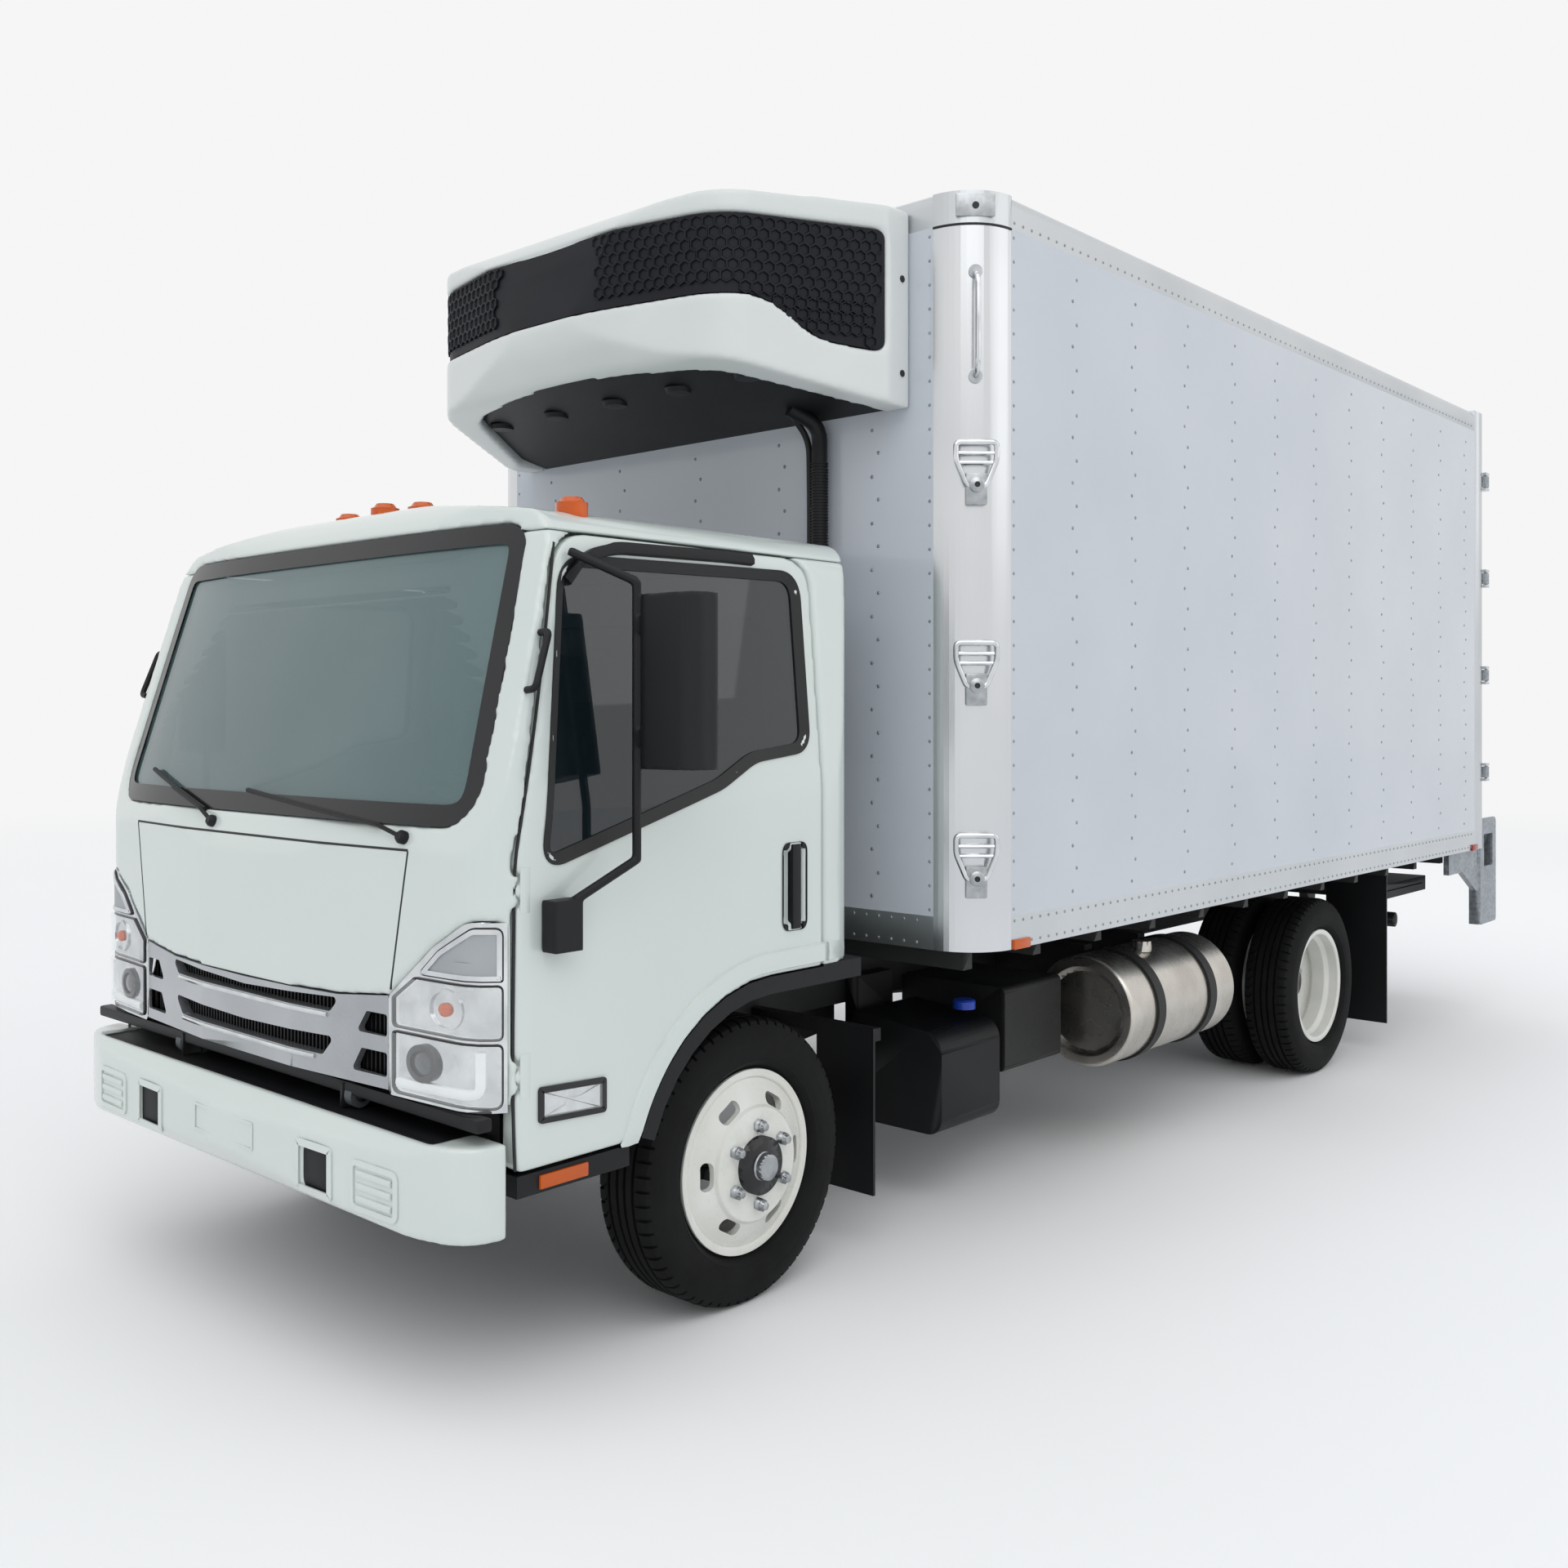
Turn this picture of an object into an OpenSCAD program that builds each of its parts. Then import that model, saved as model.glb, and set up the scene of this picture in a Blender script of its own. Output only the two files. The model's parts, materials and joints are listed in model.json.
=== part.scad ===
// Refrigerated box truck: low cab-forward chassis, insulated box body, nose-mounted cooling unit.
// Frame: +Z up, ground at Z = 0, the truck faces -Y, its left (driver's) side is +X.
// Modules draw in axle coordinates (Y = 0 at the front axle, Y positive to the rear);
// on_truck() moves them so that the origin is under the middle of the whole vehicle.

/* [Chassis] */
// Distance between the axles
wheelbase = 3810; // [3300:10:4500]
// Front axle to the front of the bumper
front_overhang = 1110; // [1080:5:1200]
// Outer width of the ladder frame
frame_w = 850; // [800:10:900]
// Height of the rail section
rail_h = 180; // [150:5:220]
// Height of the rails' top above the ground
rail_top_z = 820; // [800:5:830]
// Front track, between tyre centres
front_track = 1664; // [1640:2:1700]
// Rear track, between the centres of the twin pairs
rear_track = 1650; // [1620:2:1690]

/* [Wheels] */
// Outer radius of the tyres
tyre_r = 405; // [390:1:415]
// Section width of a tyre
tyre_w = 226; // [210:1:240]
// Radius of the rim's flange
rim_r = 261; // [250:1:270]
// Width of the rim between flanges
rim_w = 176; // [160:1:190]
// Distance between the twin tyres' centres
twin_gap = 262; // [250:1:290]
// Wheel bolt circle diameter
stud_pcd = 222.25; // [205:0.25:235]
// Number of wheel studs
stud_n = 6; // [5:1:8]
// Number of hand holes in a wheel disc
hand_holes = 6; // [4:1:8]

/* [Cab] */
// Cab width over the doors
cab_w = 2030; // [1980:5:2080]
// Front face of the cab ahead of the axle
cab_front = 1045; // [1030:5:1060]
// Back wall of the cab behind the axle
cab_back = 450; // [420:5:480]
// Height of the roof's middle
roof_z = 2280; // [2230:5:2320]
// Wall thickness of the cab
cab_wall = 50; // [40:2:60]
// Thickness of a cab door
cab_door_t = 58; // [50:2:64]
// Shut gap round doors and lid
shut_gap = 6; // [5:0.5:9]
// Radius of the wheel arch
arch_r = 535; // [520:5:550]
// Rake of the windscreen from vertical, in degrees
screen_rake = 16.6; // [14:0.2:19]

/* [Box] */
// Outer length of the insulated box
box_len = 4920; // [4300:20:5500]
// Outer width of the box
box_w = 2438; // [2300:2:2500]
// Height of the box from rail to roof
box_h = 2396; // [2100:4:2600]
// Height of the box's lower edge above the ground
box_z = 933; // [925:1:960]
// Front axle to the box's front face
box_front = 735; // [715:5:780]
// Thickness of an insulated wall
wall_t = 76; // [60:2:90]
// Radius of the front corner posts
post_r = 175; // [150:5:200]
// Height of the bottom rails
bottom_rail_h = 106; // [90:2:120]
// Height of the top rails
top_rail_h = 114; // [100:2:130]
// Depth of the rear door frame
rear_frame_d = 130; // [110:5:150]
// Width of a rear frame post
rear_post_w = 112; // [100:2:125]

/* [Cooling unit] */
// Width of the unit at the box
unit_w = 1910; // [1800:10:2000]
// How far the unit stands out of the box
unit_d = 745; // [700:5:760]
// Drop of the unit's top below the box's roof
unit_drop = 44; // [20:2:100]
// Height of the unit at the box
unit_h = 630; // [600:5:660]

/* [Hidden] */
$fn = 48;

// Rear end: the liftgate's dock bumpers are the last thing behind the box
gate_reach = 350;
overall_len = front_overhang + box_front + box_len + gate_reach;
front_axle_y = -overall_len / 2 + front_overhang;

// Wheels and steering
kingpin_x = front_track / 2 - 62;
kingpin_r = 20;
spindle_r = 34;
run_gap = 0.1;
front_tyre_x = front_track / 2;
rear_outer_x = rear_track / 2 + twin_gap / 2;
rear_inner_x = rear_track / 2 - twin_gap / 2;
disc_t = 14;
stud_r = 11;
hub_bore_r = spindle_r + run_gap;
axle_z = tyre_r;
hub_start = 15;

// Frame
flange_w = 70;
rail_t = 8;
rail_x = frame_w / 2;
rail_low_z = rail_top_z - rail_h;
frame_front = -955;
frame_rear = box_front + box_len - 760;
sill_rear = box_front + box_len - 90;
stay_y = -1042;
cross_z = [rail_low_z + 70, rail_top_z - 30];
spring_x = rail_x - 22;
spring_w = 64;

// Cab: axle coordinates, Y rearward
cab_x = cab_w / 2;
cab_low_z = 560;
grille_low_z = 750;
cowl_z = 1312;
belt_z = 1450;
side_top_x = cab_x - 65;
side_top_z = roof_z - 90;
screen_foot = [-1020, 1396];
floor_z = 840;
floor_t = 40;
riser_y = -420;
riser_z = 1010;
tunnel_x = 400;
arch_y = 10;
arch_z = tyre_r + 5;
arch_flat_z = arch_z + arch_r;
door_rear = 235;
door_front = -905;
door_low_z = 588;
door_top_z = 2140;
door_clear = 16;
door_hinge_z = [820, 1262];
door_pin_r = 3;
door_barrel_r = 6;
door_hinge = [cab_x - 7, door_front + 9];
tilt_axis = [-975, 700];
tilt_pin_r = 16;
tilt_ear_r = 32;
hinge_plate_t = 12;
tilt_ear_x = [rail_x + hinge_plate_t + 6, rail_x + hinge_plate_t + 36];
mount_gap = 0.3;
lid_x = 640;
lamp_top_z = 1190;
lamp_low_z = 738;

// Box
box_x = box_w / 2;
box_top = box_z + box_h;
unit_top_z = box_top - unit_drop;
unit_low_z = unit_top_z - unit_h;
box_rear = box_front + box_len;
wall_low_z = box_z + bottom_rail_h;
wall_top_z = box_top - top_rail_h;
sill_z = box_z + 160;
floor_top_z = sill_z - 6;
rear_door_gap = 6;
rear_door_face = box_rear - 6;
hinge_back = 50;
rear_hinge = [box_x + 8, rear_door_face + hinge_back];
hinge_r = 15;
hinge_pin_r = 8;
hinge_half = 30;
strap_y = [box_rear + 6, box_rear + 16];
lock_rod_r = 13;
rear_hinge_z = [for (i = [0 : 3]) sill_z + 260 + i * (wall_top_z - sill_z - 520) / 3];

// Helpers: rounded outlines and prisms

function unit(v) = v / norm(v);
function fillet(a, b, c, r, n) =
  let (u = unit(a - b), v = unit(c - b), half = acos(max(-1, min(1, u * v))) / 2)
  r <= 0 || half > 89.9 ? [b] :
  let (d = r / tan(half), m = b + unit(u + v) * r / sin(half), p = b + u * d - m, q = b + v * d - m,
       a0 = atan2(p[1], p[0]), turn = atan2(p[0] * q[1] - p[1] * q[0], p * q))
  [for (i = [0 : n]) m + r * [cos(a0 + turn * i / n), sin(a0 + turn * i / n)]];
// Each corner is [x, y, radius]; round stretches become n short chords
function rounded(c, n = 6) =
  let (k = len(c), p = [for (q = c) [q[0], q[1]]])
  [for (i = [0 : k - 1]) each fillet(p[(i + k - 1) % k], p[i], p[(i + 1) % k], c[i][2], n)];
// A half outline closed by its mirror image; a corner on the middle line is kept once
function both(c) = concat(c, [for (i = [len(c) - 1 : -1 : 0]) if (c[i][0] != 0) [-c[i][0], c[i][1], c[i][2]]]);

module on_truck() { translate([0, front_axle_y, 0]) children(); }
module side_prism(pts, x0, x1) {
  translate([x0, 0, 0]) rotate([90, 0, 90]) linear_extrude(x1 - x0) polygon(pts);
}
module front_prism(pts, y0, y1) {
  translate([0, y1, 0]) rotate([90, 0, 0]) linear_extrude(y1 - y0) polygon(pts);
}
module plan_prism(pts, z0, z1) {
  translate([0, 0, z0]) linear_extrude(z1 - z0) polygon(pts);
}
module bar(x, y, z) { translate([x[0], y[0], z[0]]) cube([x[1] - x[0], y[1] - y[0], z[1] - z[0]]); }
module both_sides() { children(); mirror([1, 0, 0]) children(); }
module along_x(x0, x1, r) { translate([x0, 0, 0]) rotate([0, 90, 0]) cylinder(h = x1 - x0, r = r); }
module along_y(y0, y1, r) { translate([0, y0, 0]) rotate([-90, 0, 0]) cylinder(h = y1 - y0, r = r); }
// Round tube between two points
module rod(a, b, r) {
  v = b - a;
  translate(a) rotate([0, acos(v[2] / norm(v)), atan2(v[1], v[0])]) cylinder(h = norm(v), r = r);
}

// Chassis

module frame_rails() color("dimgray") on_truck() {
  both_sides() {
    difference() {
      bar([rail_x - flange_w, rail_x], [frame_front, frame_rear], [rail_low_z, rail_top_z]);
      bar([rail_x - flange_w - 1, rail_x - rail_t], [frame_front - 1, frame_rear + 1],
          [rail_low_z + rail_t, rail_top_z - rail_t]);
    }
  }
  // Cross members: position along the frame
  for (y = [frame_front + 60, 1230, 2100, 2900, frame_rear - 495, frame_rear - 60])
    bar([-rail_x + rail_t, rail_x - rail_t], [y - 40, y + 40], cross_z);
  // Tilt hinge pins outside the rails, and the cross bar that carries the back of the cab
  both_sides() {
    bar([rail_x, rail_x + hinge_plate_t], [tilt_axis[0] - tilt_ear_r, frame_front + 60], [tilt_axis[1] - tilt_ear_r, tilt_axis[1] + tilt_ear_r]);
    translate([0, tilt_axis[0], tilt_axis[1]]) along_x(rail_x, tilt_ear_x[1] + 8, tilt_pin_r);
    bar([rail_x - 60, rail_x], [cab_back - 65, cab_back - 25], [rail_top_z, riser_z - floor_t - 40]);
  }
  bar([-rail_x - 70, rail_x + 70], [cab_back - 65, cab_back - 25], [riser_z - floor_t - 40, riser_z - floor_t - mount_gap]);
  // Bumper stays at the front ends
  both_sides() bar([rail_x - 60, rail_x - rail_t], [stay_y, frame_front], [520, rail_low_z]);
  both_sides() bar([rail_x - 60, rail_x - rail_t], [frame_front, frame_front + 60], [560, rail_low_z + rail_t]);
}

bumper_top_z = 672;
bumper_low_z = 442;
bumper_x = 1010;
bumper_t = 12;
plate_pitch = 177.8;
plate_hole_r = 3.5;
plate_z = 560;
function bumper_plan(w) = rounded(both([
  [bumper_x - w, -925, 0], [bumper_x - w, -1030 + w, 120 - w], [820, -1086 + w, 500], [0, -front_overhang + w, 0]]));
function bumper_side(w) = rounded([
  [-925, bumper_low_z + w, 0], [-925, bumper_top_z - w, 0], [-1058, bumper_top_z - w, 30],
  [-front_overhang + w, bumper_top_z - 62, 60], [-front_overhang + w, bumper_low_z + 60, 40], [-1080 + w, bumper_low_z + w, 30]]);
module bumper_body(w) intersection() {
  plan_prism(bumper_plan(w), bumper_low_z - 1, bumper_top_z + 1);
  side_prism(bumper_side(w), -bumper_x, bumper_x);
}
module front_bumper() color("white") on_truck() difference() {
  bumper_body(0);
  difference() {
    bumper_body(bumper_t);
    both_sides() bar([rail_x - 62, rail_x + 10], [-1200, stay_y + 1], [400, 700]);
  }
  // The shelf is cut back so that the tilting cab clears it
  bar([-bumper_x + 130, bumper_x - 130], [stay_y, -900], [bumper_low_z - 1, bumper_top_z + 1]);
  // Number plate holes
  for (s = [-1, 1]) translate([s * plate_pitch / 2, 0, plate_z]) along_y(-1200, -1000, plate_hole_r);
  // Tow-eye windows
  both_sides() front_prism(rounded([[390, 480, 12], [505, 480, 12], [505, 585, 12], [390, 585, 12]]), -1200, -1075);
}

module front_axle() color("#2b2b2d") on_truck() {
  // Dropped I-beam between the king pin eyes
  drop = 70;
  beam_x = [kingpin_x - 170, kingpin_x - 180, kingpin_x - 270, kingpin_x - 280];
  difference() {
    union() {
      difference() {
        front_prism(rounded([[-kingpin_x, axle_z - 35, 0], [-beam_x[0], axle_z - 35, 60],
          [-beam_x[2], axle_z - drop - 45, 60], [beam_x[2], axle_z - drop - 45, 60], [beam_x[0], axle_z - 35, 60], [kingpin_x, axle_z - 35, 0], [kingpin_x, axle_z + 35, 0],
          [beam_x[1], axle_z + 35, 60], [beam_x[3], axle_z - drop + 35, 60], [-beam_x[3], axle_z - drop + 35, 60],
          [-beam_x[1], axle_z + 35, 60],
          [-kingpin_x, axle_z + 35, 0]]), -40, 40);
        both_sides() bar([-1, beam_x[3] - 10], [-41, -14], [axle_z - drop - 25, axle_z - drop + 17]);
        both_sides() bar([-1, beam_x[3] - 10], [14, 41], [axle_z - drop - 25, axle_z - drop + 17]);
      }
      both_sides() translate([kingpin_x, 0, axle_z - 35]) cylinder(h = 70, r = 45);
      // Spring seats
      both_sides() bar([spring_x - 45, spring_x + 45], [-70, 70], [axle_z - drop + 30, axle_z - drop + 55]);
    }
    both_sides() translate([kingpin_x, 0, axle_z - 60]) cylinder(h = 120, r = kingpin_r + run_gap);
  }
}

// Leaf packs: half length and number of leaves
module leaf_pack(y, z_seat, half, n, leaf_t, rise) {
  for (i = [0 : n - 1]) {
    h = half * (1 - 0.16 * i);
    k = rise / half / half;
    side_prism(concat(
      [for (t = [-8 : 8]) [y + h * t / 8, z_seat + k * pow(h * t / 8, 2) + (n - 1 - i) * leaf_t]],
      [for (t = [8 : -1 : -8]) [y + h * t / 8, z_seat + k * pow(h * t / 8, 2) + (n - i) * leaf_t + 0.5]]),
      spring_x - spring_w / 2, spring_x + spring_w / 2);
  }
}
front_spring = [600, 4, 14, 120];
rear_spring = [640, 6, 14, 60];
module spring_set(y, z_seat, s, hanger_z) {
  both_sides() {
    leaf_pack(y, z_seat, s[0], s[1], s[2], s[3]);
    // Eyes and hangers up to the rails
    for (e = [-1, 1]) translate([0, y + e * (s[0] + 10), z_seat + s[3] + s[1] * s[2] - 8]) {
      along_x(spring_x - 40, spring_x + 40, 26);
      bar([spring_x - 40, spring_x + 40], [-26, 26], [0, hanger_z - (z_seat + s[3] + s[1] * s[2] - 8)]);
    }
  }
}
module leaf_springs() color("#26262a") on_truck() {
  spring_set(0, axle_z - 15, front_spring, rail_low_z);
  spring_set(wheelbase, axle_z + 62, rear_spring, rail_low_z);
}

banjo_r = 175;
module rear_axle() color("#26262a") on_truck() translate([0, wheelbase, axle_z]) {
  along_x(-rear_inner_x + 60, rear_inner_x - 60, 62);
  both_sides() along_x(rear_inner_x - 61, rear_outer_x - 40, spindle_r);
  // Banjo housing and its nose towards the propshaft
  rotate([-90, 0, 0]) rotate_extrude($fn = 96) polygon(rounded([
    [0, -130, 0], [90, -130, 30], [banjo_r, -60, 40], [banjo_r, 60, 40], [90, 130, 30], [0, 130, 0]], 4));
  along_y(-260, -100, 85);
  both_sides() bar([spring_x - 45, spring_x + 45], [-75, 75], [30, 62]);
}

module engine() color("#3a3c3f") on_truck()
  side_prism(rounded([[-560, 560, 60], [330, 560, 60], [700, 470, 40], [1150, 520, 30], [1150, 700, 30], [700, 760, 60],
    [300, 955, 60], [-560, 955, 60]]), -300, 300);
gearbox_y = 1150;
gearbox_z = 610;
module propshaft() color("#2a2a2c") on_truck() {
  // Shaft between two short yokes
  translate([0, 0, gearbox_z]) along_y(gearbox_y, gearbox_y + 45, 38);
  rod([0, gearbox_y + 38, gearbox_z - 3], [0, wheelbase - 298, axle_z + 3], 45);
  translate([0, 0, axle_z]) along_y(wheelbase - 305, wheelbase - 260, 38);
}

// Left-side tanks, all hung from the left rail
module urea_tank() color("#1c1c1f") on_truck() {
  x = [rail_x, 900];
  difference() {
    front_prism(rounded([[x[0] + 60, 260, 60], [x[1], 260, 60], [x[1], 600, 70], [x[0] + 60, 640, 50]]), 985, 1335);
  }
  bar([x[0], x[0] + 62], [1060, 1260], [420, rail_low_z + 100]);
}
module battery_box() color("#232326") on_truck() {
  front_prism(rounded([[rail_x, 400, 10], [880, 400, 20], [880, 700, 20], [rail_x, 700, 10]]), 1400, 1780);
}
tank_x = 935;
tank_z = 560;
tank_r = 208;
tank_y = [1850, 2700];
module unit_fuel_tank() color("silver") on_truck() {
  translate([tank_x, 0, tank_z]) {
    rotate([-90, 0, 0]) rotate_extrude($fn = 96) polygon(rounded([[0, tank_y[0] + 18, 0], [tank_r - 60, tank_y[0] + 18, 0],
      [tank_r - 40, tank_y[0], 6], [tank_r, tank_y[0], 14], [tank_r, tank_y[1], 14], [tank_r - 40, tank_y[1], 6],
      [tank_r - 60, tank_y[1] - 18, 0], [0, tank_y[1] - 18, 0]], 4));
    translate([60, 2190, tank_r - 14]) cylinder(h = 40, r = 38);
  }
}
module tank_straps() color("#151517") on_truck() for (y = [2060, 2490]) {
  translate([tank_x, 0, tank_z]) difference() {
    union() {
      along_y(y - 28, y + 28, tank_r + 9);
      bar([rail_x - tank_x, -100], [y - 28, y + 28], [-60, tank_r + 9]);
    }
    along_y(y - 29, y + 29, tank_r + run_gap);
  }
}
module exhaust_canister() color("#6d6e70") on_truck() mirror([1, 0, 0]) {
  translate([720, 0, 560]) {
    along_y(1300, 2350, 150);
    along_y(1200, 1301, 55);
    along_y(2349, 2460, 55);
  }
  for (y = [1500, 2150]) bar([rail_x, 600], [y - 30, y + 30], [560, 700]);
}

module mudflaps() color("#141416") on_truck() both_sides() {
  bar([830, 1130], [wheelbase + 640, wheelbase + 650], [140, box_z - 60]);
  // Front flaps hang on an arm from the rail
  bar([720, 950], [548, 558], [180, 700]);
  bar([rail_x, 940], [559, 599], [655, 695]);
  bar([720, 940], [557, 560], [655, 695]);
}

// Box body

module subframe() color("#2c2d30") on_truck() {
  both_sides() bar([rail_x - 60, rail_x], [box_front + 20, sill_rear], [rail_top_z, box_z - 60]);
  // Cross members on a regular pitch
  n = floor((box_len - 160) / 406);
  for (i = [0 : n]) bar([-box_x + 90, box_x - 90], [box_front + 40 + i * 406, box_front + 90 + i * 406], [box_z - 60, box_z]);
}
// Plan of the load space, round at the front corners inside the posts and clear of them
post_play = 6;
function load_plan() = rounded(both([
  [box_x - wall_t, box_rear - rear_frame_d, 0], [box_x - wall_t, box_front + wall_t, post_r - wall_t + post_play]]), 12);
module box_floor() color("#8f959b") on_truck()
  plan_prism(load_plan(), box_z, floor_top_z);
// Insulated panels: front, both sides and roof
module box_panels() color("whitesmoke") on_truck() {
  bar([-box_x + post_r, box_x - post_r], [box_front, box_front + wall_t], [wall_low_z, wall_top_z]);
  both_sides() bar([box_x - wall_t, box_x], [box_front + post_r, box_rear - rear_frame_d], [wall_low_z, wall_top_z]);
  plan_prism(load_plan(), wall_top_z + 10, box_top - 8);
}
// Quarter-round aluminium posts
module corner_posts() color("silver") on_truck() both_sides() translate([box_x - post_r, box_front + post_r, box_z])
  intersection() {
    difference() {
      cylinder(h = wall_top_z - box_z, r = post_r);
      translate([0, 0, -1]) cylinder(h = box_h, r = post_r - wall_t);
    }
    translate([0, -post_r - 1, -1]) cube([post_r + 1, post_r + 1, box_h]);
  }
module box_rails() color("silver") on_truck() {
  // Bottom rails along the sides and the front
  both_sides() bar([box_x - wall_t, box_x], [box_front + post_r, box_rear - rear_frame_d], [box_z, wall_low_z]);
  bar([-box_x + post_r, box_x - post_r], [box_front, box_front + wall_t], [box_z, wall_low_z]);
  // Top rails with a rounded upper edge, and their corner caps
  both_sides() front_prism(rounded([[box_x - wall_t, wall_top_z, 0], [box_x, wall_top_z, 0], [box_x, box_top, 45], [box_x - wall_t, box_top, 0]]),
    box_front + post_r, box_rear - rear_frame_d);
  side_prism(rounded([[box_front, wall_top_z, 0], [box_front + wall_t, wall_top_z, 0], [box_front + wall_t, box_top, 0], [box_front, box_top, 45]]),
    -box_x + post_r, box_x - post_r);
  both_sides() translate([box_x - post_r, box_front + post_r, wall_top_z]) intersection() {
    difference() {
      cylinder(h = top_rail_h - 12, r = post_r + 2);
      translate([0, 0, -1]) cylinder(h = box_h, r = post_r - wall_t);
    }
    translate([0, -post_r - 5, -1]) cube([post_r + 5, post_r + 5, box_h]);
  }
}
open_x = box_x - rear_post_w;
header_z = wall_top_z - 40;
module rear_frame() color("gainsboro") on_truck() {
  difference() {
    bar([-box_x, box_x], [box_rear - rear_frame_d, box_rear], [box_z, box_top]);
    bar([-open_x, open_x], [box_rear - rear_frame_d - 1, box_rear + 1], [sill_z, header_z]);
  }
  // Hinge lugs above and below each strap, with the pin between them
  both_sides() for (z = rear_hinge_z) {
    for (e = [-1, 1]) bar([rear_hinge[0] - 42, rear_hinge[0] + 13], [box_rear - 1, rear_hinge[1] + 13],
      e > 0 ? [z + hinge_half + 5, z + hinge_half + 19] : [z - hinge_half - 19, z - hinge_half - 5]);
    translate([rear_hinge[0], rear_hinge[1], z - hinge_half - 18]) cylinder(h = 2 * hinge_half + 36, r = hinge_pin_r);
  }
}
module rear_door() {
  z0 = sill_z + rear_door_gap + 4;
  z1 = header_z - rear_door_gap;
  bar([rear_door_gap / 2, open_x - rear_door_gap], [rear_door_face - wall_t, rear_door_face], [z0, z1]);
  // Hinge straps pass behind the frame post and turn on its pins
  for (z = rear_hinge_z) difference() {
    union() {
      bar([open_x - 150, open_x - rear_door_gap], [rear_door_face - 1, strap_y[1]], [z - hinge_half, z + hinge_half]);
      bar([open_x - 150, rear_hinge[0]], strap_y, [z - hinge_half, z + hinge_half]);
      bar([rear_hinge[0] - 9, rear_hinge[0] + 9], [strap_y[0], rear_hinge[1]], [z - hinge_half, z + hinge_half]);
      translate([rear_hinge[0], rear_hinge[1], z - hinge_half]) cylinder(h = 2 * hinge_half, r = hinge_r);
    }
    translate([rear_hinge[0], rear_hinge[1], z - hinge_half - 1])
      cylinder(h = 2 * hinge_half + 2, r = hinge_pin_r + run_gap);
  }
  // Lock rod with its guides and handle
  rod_x = 190;
  translate([rod_x, rear_door_face + 25, z0 + 20]) cylinder(h = z1 - z0 - 40, r = lock_rod_r);
  for (z = [z0 + 60, z0 + 700, z0 + 1300, z1 - 60])
    bar([rod_x - 25, rod_x + 25], [rear_door_face, rear_door_face + 24], [z - 25, z + 25]);
  bar([rod_x, rod_x + 330], [rear_door_face + 14, rear_door_face + 32], [z0 + 480, z0 + 520]);
}
module rear_door_left() color("whitesmoke") on_truck() rear_door();
module rear_door_right() color("whitesmoke") on_truck() mirror([1, 0, 0]) rear_door();

// Liftgate: galvanised dock bumpers and bed extension, with the platform folded under the body
gate_x = 1190;
gate_top = sill_z - 3;
module liftgate_frame() color("#8d9499") on_truck() {
  y0 = box_rear + 70;
  y1 = box_rear + gate_reach;
  both_sides() {
    // Side plate with step openings, and its front flange
    difference() {
      side_prism(rounded([[y0, 500, 10], [y1, 500, 20], [y1, gate_top, 30], [y0, gate_top, 10]]), gate_x - 12, gate_x);
      side_prism(rounded([[y0 + 60, 820, 15], [y1 - 60, 820, 15], [y1 - 60, 1000, 15], [y0 + 60, 1000, 15]]), gate_x - 13, gate_x + 1);
    }
    bar([gate_x - 60, gate_x - 12], [y0, y0 + 12], [500, gate_top]);
    bar([gate_x - 60, gate_x - 12], [y1 - 12, y1], [520, gate_top - 30]);
    // Arm and brace to the underside of the box
    side_prism([[box_rear - 420, box_z - 120], [box_rear - 420, box_z], [y0, box_z], [y0, 690], [y0 - 30, 690], [box_rear - 200, box_z - 120]],
      gate_x - 40, gate_x - 12);
  }
  // Bed extension between the plates
  bar([-gate_x + 50, gate_x - 50], [box_rear, y1 - 6], [sill_z - 90, sill_z - 75]);
  bar([-gate_x + 50, gate_x - 50], [y1 - 12, y1 - 6], [sill_z - 190, sill_z - 75]);
}
module liftgate_platform() color("#1e1f21") on_truck() {
  // Folded platform: two leaves on their hinge
  bar([-940, 940], [box_rear - 700, box_rear - 60], [690, 728]);
  bar([-940, 940], [box_rear - 690, box_rear - 60], [734, 768]);
  bar([-940, 940], [box_rear - 110, box_rear - 60], [727, 735]);
  // Cross tube, and the hangers that carry it under the sills
  translate([0, box_rear - 365, 545]) along_x(-880, 880, 40);
  both_sides() side_prism([[box_rear - 460, rail_top_z], [box_rear - 270, rail_top_z], [box_rear - 320, 520], [box_rear - 410, 520]],
    rail_x - 50, rail_x - 10);
}

// Nose-mounted cooling unit

unit_x = unit_w / 2;
unit_front = box_front - unit_d;
function unit_plan(w) = rounded(both([
  [unit_x - w, box_front, 0], [unit_x - w, box_front - 120, 60], [unit_x - 250 - w, unit_front + 120 + w, 240], [0, unit_front - 40 + w, 1600]]), 8);
function unit_side(w) = rounded([
  [box_front, unit_low_z + w, 0], [box_front, unit_top_z - w, 0], [unit_front + 40 + w, unit_top_z - 18 - w, 90],
  [unit_front + w, 2900, 200], [unit_front + 90 + w, unit_low_z + 112 + w, 90], [box_front - 120, unit_low_z + w, 300]], 6);
module unit_body(w) intersection() {
  plan_prism(unit_plan(w), unit_low_z - 10, unit_top_z + 10);
  side_prism(unit_side(w), -unit_x, unit_x);
}
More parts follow.
